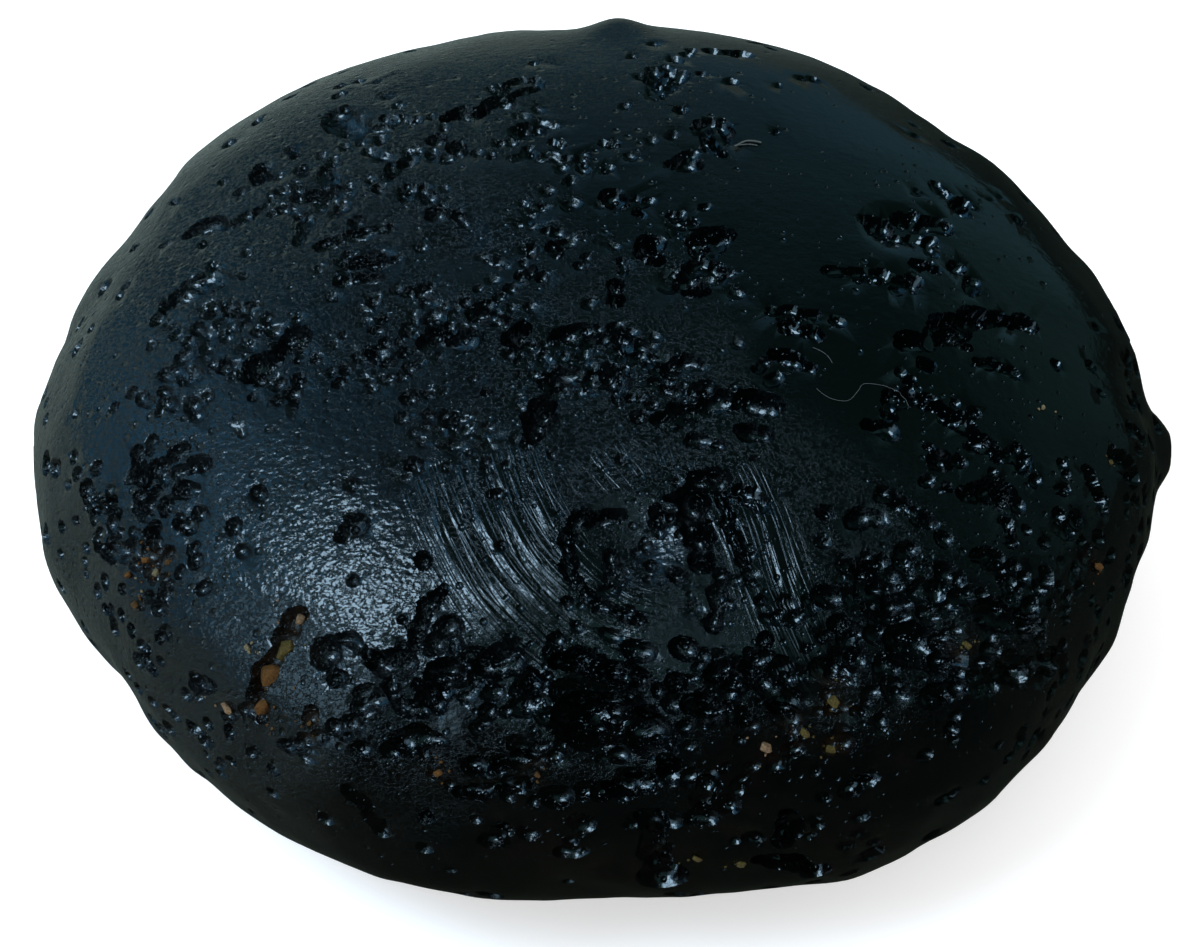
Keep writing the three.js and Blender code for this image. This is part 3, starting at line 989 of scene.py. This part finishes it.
# ---- lint: places along each fibre, radius in mm ----
FIBRES = [
    ([(36.5, -20.3), (37.6, -20.8), (38.4, -21.6), (38.8, -22.9)], 0.015),
    ([(35.6, -28.4), (36.3, -29.2), (37.6, -29.8), (39.6, -29.4), (41.2, -27.4), (42.2, -25.8),
      (43.4, -25.3), (45.2, -25.1), (46.6, -25.6), (47.6, -26.4)], 0.013),
    ([(25.0, 31.0), (26.6, 32.3), (28.0, 32.4), (29.4, 32.0)], 0.050),
    ([(24.8, 31.2), (27.2, 31.6), (28.8, 31.3)], 0.030),
]
FIBRE_SIDES = 6
FIBRE_STEPS = 10
FIBRE_LIFT = 0.03
FIBRE_SAG = 0.35  # how deep a fibre sags into a hollow before it bridges it
FIBRE_TIP = 0.35  # the radius of its ends over the radius of its middle


def lint_mesh(finder):
    verts = []
    faces = []
    for places, radius in FIBRES:
        centres = []
        for point in places_at(smooth_line(places, FIBRE_STEPS)):
            near, up, _, _ = finder.find_nearest(Vector(point))
            height = max((Vector(point) - near).dot(up) - FIBRE_SAG, 0)
            centres.append(near + up * (radius + FIBRE_LIFT + height))
        start = len(verts)
        last = len(centres) - 1
        for i, centre in enumerate(centres):
            way = (centres[min(i + 1, last)] - centres[max(i - 1, 0)]).normalized()
            side = way.orthogonal().normalized()
            other = way.cross(side)
            size = radius * (FIBRE_TIP if i in (0, last) else 1)
            for k in range(FIBRE_SIDES):
                turn = math.tau * k / FIBRE_SIDES
                verts.append((centre + side * size * math.cos(turn)
                              + other * size * math.sin(turn)) * MM)
        for i in range(last):
            for k in range(FIBRE_SIDES):
                a = start + i * FIBRE_SIDES + k
                b = start + i * FIBRE_SIDES + (k + 1) % FIBRE_SIDES
                faces.append((a, b, b + FIBRE_SIDES, a + FIBRE_SIDES))
        faces.append(tuple(start + k for k in reversed(range(FIBRE_SIDES))))
        faces.append(tuple(start + last * FIBRE_SIDES + k for k in range(FIBRE_SIDES)))
    return mesh_of("lint_fibres", verts, faces)


# ---- marks on the skin that the glass material reads ----
CROWD_ANYWHERE = 0.30  # bubbles for each square degree, as for the clusters
CROWD_LEFT = 0.8
CROWDED_LEFT = (10, -50)  # where it begins and is full, in degrees east
CROWD_SPREAD = 0.75  # of a cluster's spread
BARE_EDGE = (0.6, 1.2)  # a bare stretch ends over this, in squares of its reach
BUBBLY_PITS = 0.6


def bubble_share(east, north):
    """How thickly the smallest bubbles lie at places: 0 for none, near 1 in the clusters."""
    crowd = CROWD_ANYWHERE + CROWD_LEFT * smooth(*CROWDED_LEFT, east)
    for place, spread, count, _ in BUBBLE_CLUSTERS:
        across = (east - place[0]) / (CROWD_SPREAD * spread[0])
        onward = (north - place[1]) / (CROWD_SPREAD * spread[1])
        crowd = crowd + count / (spread[0] * spread[1]) * np.exp(-0.5 * (across ** 2 + onward ** 2))
    for place, reach, share in BARE_STRETCHES:
        off = ((east - place[0]) / reach[0]) ** 2 + ((north - place[1]) / reach[1]) ** 2
        crowd = crowd * (1 - share * (1 - smooth(*BARE_EDGE, off)))
    return 1 - np.exp(-0.5 * crowd)


ABOUT_HALF = (31, 30, 14)  # about half the stone's size each way, in mm
# Where the skin is grainy: a stretch of degrees east or north, and how much it brings or takes.
GRAINY_ANYWHERE = 0.35
GRAINY_LEAST = 0.08
GRAINY_LEFT = (15, -55, 0.45)
GRAINY_FRONT = (-15, -55, 0.40)
SMOOTH_RIGHT = (20, 50, 0.5)
RIGHT_FROM_FRONT = (-50, -20)
SMOOTH_WALL = (-62, -76, 0.55)
SMOOTHER_RIGHT = (10, 45, 0.3)
SMOOTH_FLOW = 0.55  # share of the grain that the flow bands take away
GRAINY_PATCHES = ((4.0, 0.15, 71),)
DUST_SPREAD = (0.5, 0.7)  # mm about a grain, and more for each mm of its length
DUST_ON_SKIN = 0.2  # the rest lies in the pits only
FILM = 0.14  # the thin dust of the wall
FILM_TILT = (66, 86)  # where the film begins and is full, in degrees from straight up
FILM_MIDDLE = 0.6
FILM_PATCHES = ((3.0, 0.6, 73),)


def share_in(value, low, high, amount):
    """An amount that grows from nothing at low to all of it at high."""
    return amount * smooth(low, high, value)


def graininess(points, east, north, strength):
    """How grainy the skin is: most at the left and in front, less at the right and below."""
    peel = GRAINY_ANYWHERE + share_in(east, *GRAINY_LEFT) + share_in(north, *GRAINY_FRONT)
    peel = peel * (1 - share_in(east, *SMOOTH_RIGHT) * smooth(*RIGHT_FROM_FRONT, north))
    peel = peel * (1 - share_in(north, *SMOOTH_WALL)) * (1 - share_in(east, *SMOOTHER_RIGHT))
    peel = np.clip(noise_about(peel, points, GRAINY_PATCHES), GRAINY_LEAST, 1)
    return peel * (1 - SMOOTH_FLOW * strength)


def dustiness(points, tilt, pit, grains):
    """Dust about the larger grains, most of it in pits, and a thin film low on the wall."""
    dust = np.zeros(len(points))
    for point, _, sizes, _ in grains:
        if sizes[0] < DUSTY_GRAIN:
            continue
        gap = points - np.array(point)
        reach = DUST_SPREAD[0] + DUST_SPREAD[1] * sizes[0]
        dust = np.maximum(dust, np.exp(-(gap * gap).sum(axis=1) / reach ** 2))
    film = FILM * smooth(*FILM_TILT, tilt) * noise_about(FILM_MIDDLE, points, FILM_PATCHES)
    return np.maximum(dust * (DUST_ON_SKIN + (1 - DUST_ON_SKIN) * pit), film)


def mark_skin(mesh, grains):
    """Stores where flow lines run, how grainy and bubbly the skin is, and where dust lies."""
    points = vertex_points(mesh) / MM
    normals = unit((points - (0, 0, MIDDLE_HEIGHT)) / np.square(ABOUT_HALF))
    across, along, strength, _ = flow_field(points, normals)
    flow = np.stack([across, along, strength], axis=1)
    store(mesh, "flow", flow, "FLOAT_VECTOR", "vector")
    east, north = places_of(points)
    store(mesh, "peel", graininess(points, east, north, strength))
    pit = np.empty(len(points), dtype=np.float32)
    mesh.attributes["pit"].data.foreach_get("value", pit)
    store(mesh, "bubbly", np.clip(bubble_share(east, north) + BUBBLY_PITS * pit, 0, 1))
    store(mesh, "dust", dustiness(points, np.hypot(east, north), pit, grains))


CRISP_EDGE = math.radians(46)  # edges sharper than this stay crisp, such as the rims of bubbles


def add_piece(name, mesh, material):
    piece = put_in(name, mesh)
    mesh.materials.append(material)
    mesh.shade_smooth()
    mesh.set_sharp_from_angle(angle=CRISP_EDGE)
    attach(piece, "root")
    return piece


# ---- materials ----
def new_material(name):
    material = bpy.data.materials.new(name)
    material.use_nodes = True
    shader = material.node_tree.nodes["Principled BSDF"]
    return material, material.node_tree, shader


def feed(tree, node, values):
    """Sets a node's inputs, by name or number, to plain values or links sockets to them."""
    for key, value in values.items():
        if isinstance(value, bpy.types.NodeSocket):
            tree.links.new(value, node.inputs[key])
        else:
            node.inputs[key].default_value = value


def new_node(tree, kind, values, **settings):
    """A shader node of a kind with its settings, its inputs fed with the values."""
    node = tree.nodes.new("ShaderNode" + kind)
    for name, setting in settings.items():
        setattr(node, name, setting)
    feed(tree, node, values)
    return node


def maths(tree, operation, *terms):
    """A math node over sockets or plain values; returns its result socket."""
    return new_node(tree, "Math", dict(enumerate(terms)), operation=operation).outputs[0]


def vector_maths(tree, operation, *terms):
    """A vector math node over sockets or plain values; returns its result sockets."""
    return new_node(tree, "VectorMath", dict(enumerate(terms)), operation=operation).outputs


def value_range(tree, value, from_values, to_values, kind="LINEAR"):
    """A socket's values between from_values, spread over to_values."""
    low, high = from_values
    start, end = to_values
    values = {"Value": value, "From Min": low, "From Max": high, "To Min": start, "To Max": end}
    return new_node(tree, "MapRange", values, interpolation_type=kind).outputs["Result"]


def smooth_range(tree, value, from_values, to_values):
    return value_range(tree, value, from_values, to_values, "SMOOTHSTEP")


def add_glow(tree, factor, colour, below):
    """Colour times factor, added to the colour socket or plain colour below."""
    return vector_maths(tree, "MULTIPLY_ADD", factor, colour, below)[0]


def toward(tree, direction, way):
    """How closely a direction socket points along a way, as the cosine of the angle."""
    return vector_maths(tree, "DOT_PRODUCT", direction, way)["Value"]


def stretched(tree, place, factors):
    """A place socket with its axes multiplied, so that what lies on it is drawn out."""
    return vector_maths(tree, "MULTIPLY", place, factors)[0]


def place_on(tree):
    """A socket with each spot's place on its piece, in metres."""
    return new_node(tree, "TexCoord", {}).outputs["Object"]


def attribute(tree, name):
    return new_node(tree, "Attribute", {}, attribute_name=name)


def noise_over(tree, place, scale, detail, roughness=0.5):
    values = {"Vector": place, "Scale": scale, "Detail": detail, "Roughness": roughness}
    return new_node(tree, "TexNoise", values).outputs["Fac"]


def off_middle(tree, noise):
    """How far a noise socket is from its middle, for lines where it passes there."""
    return maths(tree, "ABSOLUTE", maths(tree, "SUBTRACT", noise, 0.5))


def blend(tree, factor, first, second):
    """Two colours mixed by a factor socket."""
    values = {"Factor": factor, "A": first, "B": second}
    return new_node(tree, "Mix", values, data_type="RGBA").outputs["Result"]


def bumped(tree, height):
    """The normals of a surface with this relief, a height socket in mm."""
    return new_node(tree, "Bump", {"Distance": MM, "Height": height}).outputs["Normal"]


def relief_group():
    """Fine uneven relief as a height in mm, and the noise itself for colour."""
    group = bpy.data.node_groups.new("fine relief", "ShaderNodeTree")
    sockets = group.interface
    sockets.new_socket("Vector", in_out="INPUT", socket_type="NodeSocketVector")
    for name, value in (("Scale", 1000.0), ("Detail", 3.0), ("Height mm", 0.02)):
        socket = sockets.new_socket(name, in_out="INPUT", socket_type="NodeSocketFloat")
        socket.default_value = value
    for name in ("Height", "Noise"):
        sockets.new_socket(name, in_out="OUTPUT", socket_type="NodeSocketFloat")
    given = group.nodes.new("NodeGroupInput").outputs
    noise = noise_over(group, given["Vector"], given["Scale"], given["Detail"])
    height = maths(group, "MULTIPLY", noise, given["Height mm"])
    feed(group, group.nodes.new("NodeGroupOutput"), {"Height": height, "Noise": noise})
    return group


def relief_over(tree, relief, place, values):
    """The fine relief group on a place socket, its values as scale, detail and height in mm."""
    scale, detail, height = values
    inputs = {"Vector": place, "Scale": scale, "Detail": detail, "Height mm": height}
    return new_node(tree, "Group", inputs, node_tree=relief).outputs


BUBBLE_STEEP = 0.7  # depth of a small bubble over its radius


def small_bubbles(tree, place, spacing, widths, share):
    """Burst bubbles as relief: spheres cut by the skin. Spacing and widths are in mm; share says
    how many of the spheres there are. Returns the height in mm and a mask of their insides."""
    cells = new_node(tree, "TexVoronoi", {"Vector": place, "Scale": 1 / (spacing * MM)}).outputs
    chance = new_node(tree, "SeparateColor", {"Color": cells["Color"]}).outputs
    low, high = widths
    radius = maths(tree, "MULTIPLY_ADD", chance[1], (high - low) / 2, low / 2)
    away = maths(tree, "MULTIPLY", cells["Distance"], spacing)
    off = maths(tree, "DIVIDE", away, radius)
    off = maths(tree, "MULTIPLY", off, off)
    inside = maths(tree, "MAXIMUM", maths(tree, "SUBTRACT", 1.0, off), 0.0)
    chosen = maths(tree, "LESS_THAN", chance[0], share)
    bowl_shape = maths(tree, "MULTIPLY", maths(tree, "SQRT", inside), chosen)
    height = maths(tree, "MULTIPLY", maths(tree, "MULTIPLY", bowl_shape, radius), -BUBBLE_STEEP)
    return height, bowl_shape


# Fine relief: scale per metre (along the flow lines, per mm), detail and height in mm.
SKIN_GRAIN = (5000.0, 3.0, 0.021)
HAMMER_MARKS = (2700.0, 1.0, 0.065)
STREAKS = (3600.0, 2.0, 0.008)
MOTTLE = (1500.0, 3.0, 0.03)
FLOW_LINES = (1.0, 2.0, 0.034)
SOIL_GRIT = (9000.0, 4.0, 0.06)
LINT_FUZZ = (12000.0, 2.0, 0.02)
SKIN_DRAW = (0.8, 1.0, 1.0)  # the skin was drawn out a little along X
STREAK_DRAW = (0.16, 1.0, 1.0)
LINE_DRAW = (3.8, 0.20, 0.0)  # across and along the flow
THREAD_DRAW = (2.3, 0.11, 0.0)  # the same for the raised threads
THREAD = ((0.0, 0.06), (0.05, 0.0))  # raised threads: noise off its middle, then height in mm
WRINKLES = (3600.0, 4.0, 0.6)  # scale per metre, detail, roughness of the noise
CREASE = ((0.0, 0.045), (-0.030, 0.0))
MIDDLING_BUBBLES = (0.62, (0.20, 0.54))  # spacing, then the range of widths, in mm
TINY_BUBBLES = (0.36, (0.10, 0.28))
TINY_SHARES = (0.65, 0.12)  # how many there are where it is bubbly, and where it is grainy
SMOOTH_HOLLOWS = 0.6  # share of the grain that is gone inside hollows
DUST_CLUMPS = (900.0, 2.0, 1.5)  # scale per metre, detail, contrast
GLOSS_BASE = 0.10  # roughness of the barest glass, then what grain, hollows and dust add
GLOSS_GRAIN = 0.08
GLOSS_HOLLOW = -0.06
GLOSS_DUST = 0.5
GLASS_IOR = 1.5
GLASS_BLACK = (0.0003, 0.0006, 0.0007, 1)
DUST_BROWN = (0.022, 0.013, 0.006, 1)
SOIL_NOISE = (0.3, 0.7)
SOIL_SHADES = (0.45, 1.25)  # how much darker or paler than its tint a grain is
SOIL_ROUGH = 0.85
SOIL_SHINE = 0.15
LINT_ROUGH = 0.8
LINT_DARK = (0.03, 0.04, 0.04, 1)
LINT_PALE = (0.075, 0.086, 0.082, 1)


def glass_material(relief):
    material, tree, shader = new_material("black impact glass")
    place = place_on(tree)
    peel, dust, bubbly, pit = [
        attribute(tree, name).outputs["Fac"] for name in ("peel", "dust", "bubbly", "pit")]
    flow = attribute(tree, "flow").outputs["Vector"]
    flow_strength = new_node(tree, "SeparateXYZ", {0: flow}).outputs["Z"]

    drawn = stretched(tree, place, SKIN_DRAW)
    skin = relief_over(tree, relief, drawn, SKIN_GRAIN)
    hammered = relief_over(tree, relief, drawn, HAMMER_MARKS)
    streaks = relief_over(tree, relief, stretched(tree, place, STREAK_DRAW), STREAKS)
    mottle = relief_over(tree, relief, place, MOTTLE)
    lines = relief_over(tree, relief, stretched(tree, flow, LINE_DRAW), FLOW_LINES)
    drawn_out = noise_over(tree, stretched(tree, flow, THREAD_DRAW), 1.0, 1.0)
    thread = smooth_range(tree, off_middle(tree, drawn_out), *THREAD)
    wrinkles = noise_over(tree, drawn, *WRINKLES)
    crease = smooth_range(tree, off_middle(tree, wrinkles), *CREASE)
    crease = maths(tree, "MULTIPLY", crease, peel)

    middling, middling_in = small_bubbles(tree, place, *MIDDLING_BUBBLES, bubbly)
    by_grain = maths(tree, "MULTIPLY", peel, TINY_SHARES[1])
    few = maths(tree, "MULTIPLY_ADD", bubbly, TINY_SHARES[0], by_grain)
    tiny, tiny_in = small_bubbles(tree, place, *TINY_BUBBLES, few)

    hollow = maths(tree, "MAXIMUM", pit, maths(tree, "MAXIMUM", middling_in, tiny_in))
    open_skin = maths(tree, "MULTIPLY_ADD", hollow, -SMOOTH_HOLLOWS, 1.0)
    rough_skin = maths(tree, "ADD", skin["Height"], crease)
    hammer = maths(tree, "MULTIPLY", hammered["Height"], peel)
    rough_skin = maths(tree, "ADD", rough_skin, hammer)
    rough_skin = maths(tree, "MULTIPLY", rough_skin, open_skin)
    height = maths(tree, "MULTIPLY", rough_skin, peel)
    height = maths(tree, "ADD", height, streaks["Height"])
    height = maths(tree, "ADD", height, mottle["Height"])
    furrow = maths(tree, "ADD", lines["Height"], thread)
    height = maths(tree, "MULTIPLY_ADD", furrow, flow_strength, height)
    height = maths(tree, "ADD", height, maths(tree, "ADD", middling, tiny))

    scale, detail, contrast = DUST_CLUMPS
    clumps = maths(tree, "POWER", noise_over(tree, place, scale, detail), contrast)
    patchy = maths(tree, "MULTIPLY", dust, clumps)
    gloss = maths(tree, "MULTIPLY_ADD", peel, GLOSS_GRAIN, GLOSS_BASE)
    gloss = maths(tree, "MULTIPLY_ADD", hollow, GLOSS_HOLLOW, gloss)
    gloss = maths(tree, "MULTIPLY_ADD", patchy, GLOSS_DUST, gloss)
    feed(tree, shader, {
        "Base Color": blend(tree, patchy, GLASS_BLACK, DUST_BROWN),
        "Roughness": gloss,
        "IOR": GLASS_IOR,
        "Normal": bumped(tree, height),
    })
    return material


def soil_material(relief):
    material, tree, shader = new_material("laterite soil")
    grit = relief_over(tree, relief, place_on(tree), SOIL_GRIT)
    shade = value_range(tree, grit["Noise"], SOIL_NOISE, SOIL_SHADES)
    tint = attribute(tree, "tint").outputs["Color"]
    colour = new_node(tree, "VectorMath", {0: tint, "Scale": shade}, operation="SCALE")
    feed(tree, shader, {
        "Base Color": colour.outputs[0],
        "Roughness": SOIL_ROUGH,
        "Specular IOR Level": SOIL_SHINE,
        "Normal": bumped(tree, grit["Height"]),
    })
    return material


def lint_material(relief):
    material, tree, shader = new_material("lint")
    fuzz = relief_over(tree, relief, place_on(tree), LINT_FUZZ)
    feed(tree, shader, {
        "Base Color": blend(tree, fuzz["Noise"], LINT_DARK, LINT_PALE),
        "Roughness": LINT_ROUGH,
        "Normal": bumped(tree, fuzz["Height"]),
    })
    return material


# ---- surroundings ----
TABLE_HALF = 1.5
TABLE_PALE = (0.86, 0.86, 0.86, 1)
TABLE_ROUGH = 0.9
TABLE_LIFT = 0.42  # a little glow, so that the table stays pale in the stone's shadow
# To the glass the table is a painted reflection: painted light on one side, painted shade on the
# others, and a painted shadow round the stone.
PAINTED_TABLE_LIGHT_WAY = (-0.90, 0.44, 0.0)  # the side on which the glass sees the table lit: painted light
PAINTED_TABLE_LIGHT = (0.31, 0.41, 0.39)
PAINTED_TABLE_SHADE = (0.016, 0.028, 0.024)
PAINTED_LIGHT_EDGE = (-0.15, 1.0)  # where the painted light sets in, as the cosine of the angle to that side
PAINTED_TABLE_CLOSE = (0.042, 0.048, 0.036)  # painted colour of the reflected table right beside the stone, where its painted shadow falls
CLOSE_UP_TO = (0.030, 0.060)  # metres from the stone's middle
OPEN_FROM = (0.028, 0.075)
PAINTED_STONE_SHADOW = (0.3, 1.0)  # painted shadow: how dim the reflected table is under the stone, and out in the open


def in_reflections(tree, direct, reflected, output):
    """Shows one shader directly and another where the glass reflects it."""
    glossy = new_node(tree, "LightPath", {}).outputs["Is Glossy Ray"]
    values = {"Fac": glossy, 1: direct.outputs[0], 2: reflected.outputs[0]}
    feed(tree, output, {"Surface": new_node(tree, "MixShader", values).outputs[0]})


def build_floor():
    corners = [(x * TABLE_HALF, y * TABLE_HALF, 0) for x, y in ((-1, -1), (1, -1), (1, 1), (-1, 1))]
    mesh = mesh_of("floor", corners, [(0, 1, 2, 3)])
    floor = put_in("floor", mesh)
    material, tree, shader = new_material("pale table")
    feed(tree, shader, {
        "Base Color": TABLE_PALE,
        "Roughness": TABLE_ROUGH,
        "Specular IOR Level": 0.0,
        "Emission Color": (1, 1, 1, 1),
        "Emission Strength": TABLE_LIFT,
    })
    # What the glass reflects of the table is painted light and shade: a glow lit on one side and a
    # painted shadow by the stone.
    place = place_on(tree)
    outward = vector_maths(tree, "NORMALIZE", place)[0]
    far = vector_maths(tree, "LENGTH", place)["Value"]
    side = smooth_range(tree, toward(tree, outward, PAINTED_TABLE_LIGHT_WAY), PAINTED_LIGHT_EDGE, (0, 1))
    reflected_light_and_shade = add_glow(tree, side, PAINTED_TABLE_LIGHT, PAINTED_TABLE_SHADE)
    # Painted shadow: the reflected glow dims under and around the stone.
    painted_shadow_strength = smooth_range(tree, far, OPEN_FROM, PAINTED_STONE_SHADOW)
    close = smooth_range(tree, far, CLOSE_UP_TO, (1, 0))
    reflected_light_and_shade = add_glow(tree, close, PAINTED_TABLE_CLOSE, reflected_light_and_shade)
    glow = new_node(tree, "Emission", {"Color": reflected_light_and_shade, "Strength": painted_shadow_strength})
    in_reflections(tree, shader, glow, tree.nodes["Material Output"])
    mesh.materials.append(material)


ROOM_DARK = (0.002, 0.007, 0.007)
ROOM_GLOWS = [  # azimuth and elevation, reach in degrees, colour as the glass sees it
    (174, 30, 60, (0.10, 0.36, 0.62)),
    (165, 38, 26, (0.12, 0.40, 0.70)),
    (95, 2, 56, (0.055, 0.14, 0.205)),
    (35, 2, 50, (0.045, 0.10, 0.105)),
    (50, 42, 50, (0.018, 0.055, 0.050)),
    (265, 66, 34, (0.13, 0.32, 0.34)),
    (215, 28, 24, (1.00, 1.55, 1.90)),
]


def build_room():
    """Pale where the camera sees it; to the glass, bluish on the left and dark in front."""
    world = bpy.data.worlds.new("studio")
    bpy.context.scene.world = world
    world.use_nodes = True
    tree = world.node_tree
    pale = tree.nodes["Background"]
    feed(tree, pale, {"Color": (1, 1, 1, 1), "Strength": 1.0})
    place = new_node(tree, "TexCoord", {}).outputs["Generated"]
    colour = ROOM_DARK
    for azimuth, elevation, reach, glow in ROOM_GLOWS:
        close = toward(tree, place, tuple(unit_vector(azimuth, 90 - elevation)))
        factor = smooth_range(tree, close, (math.cos(math.radians(reach)), 1.0), (0, 1))
        colour = add_glow(tree, factor, glow, colour)
    dim = new_node(tree, "Background", {"Color": colour})
    in_reflections(tree, pale, dim, tree.nodes["World Output"])


SOFT_BOX_PLACE = (-0.280, -0.104, 0.520)
SOFT_BOX_LONG_WAY = (0.46, -0.86, 0.23)
SOFT_BOX_SIZES = (0.29, 0.23)
SOFT_BOX_RADIANCE = 13.0
SOFT_BOX_COLOUR = (0.55, 0.79, 1.0)
LIGHT_TARGET = (0, 0, 0.02)


def add_light(name, position, long_way, sizes, radiance, colour):
    """An oblong soft light that faces the stone, its longer side along long_way."""
    lamp = bpy.data.lights.new(name, "AREA")
    lamp.shape = "RECTANGLE"
    lamp.size, lamp.size_y = sizes
    lamp.energy = radiance * math.pi * sizes[0] * sizes[1]
    lamp.color = colour
    holder = put_in(name, lamp)
    back = (Vector(position) - Vector(LIGHT_TARGET)).normalized()
    length = Vector(long_way)
    length = (length - length.dot(back) * back).normalized()
    other = back.cross(length)
    turn = Matrix((length, other, back)).transposed()
    holder.matrix_world = Matrix.Translation(position) @ turn.to_4x4()


CAMERA_TARGET = (-0.2, -3.0, 12.0)
CAMERA_DISTANCE = 0.165
CAMERA_TILT = math.radians(50)  # above the table
CAMERA_LENS = 85.0
SENSOR_WIDTH = 36.0
NEAREST_SEEN = 0.005


def build_camera():
    target = Vector(CAMERA_TARGET) * MM
    lens = bpy.data.cameras.new("camera")
    lens.lens = CAMERA_LENS
    lens.sensor_width = SENSOR_WIDTH
    lens.clip_start = NEAREST_SEEN
    camera = put_in("camera", lens)
    back = Vector((0, -math.cos(CAMERA_TILT), math.sin(CAMERA_TILT)))
    camera.location = target + CAMERA_DISTANCE * back
    camera.rotation_euler = (target - camera.location).to_track_quat("-Z", "Y").to_euler()
    bpy.context.scene.camera = camera


# ---- the scene ----
relief = relief_group()
skin = thinned(carved_skin(), SKIN_TRIANGLES)
finder = surface_finder(skin)
grains = grain_list(finder)
mark_skin(skin, grains)
stone = add_piece("tektite_skin", skin, glass_material(relief))
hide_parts("tektite")
add_piece("soil_grains", soil_mesh(grains), soil_material(relief))
add_piece("lint_fibres", lint_mesh(finder), lint_material(relief))

build_floor()
build_room()
add_light("soft box", SOFT_BOX_PLACE, SOFT_BOX_LONG_WAY, SOFT_BOX_SIZES, SOFT_BOX_RADIANCE,
          SOFT_BOX_COLOUR)
build_camera()
bpy.context.scene.view_settings.view_transform = "Standard"
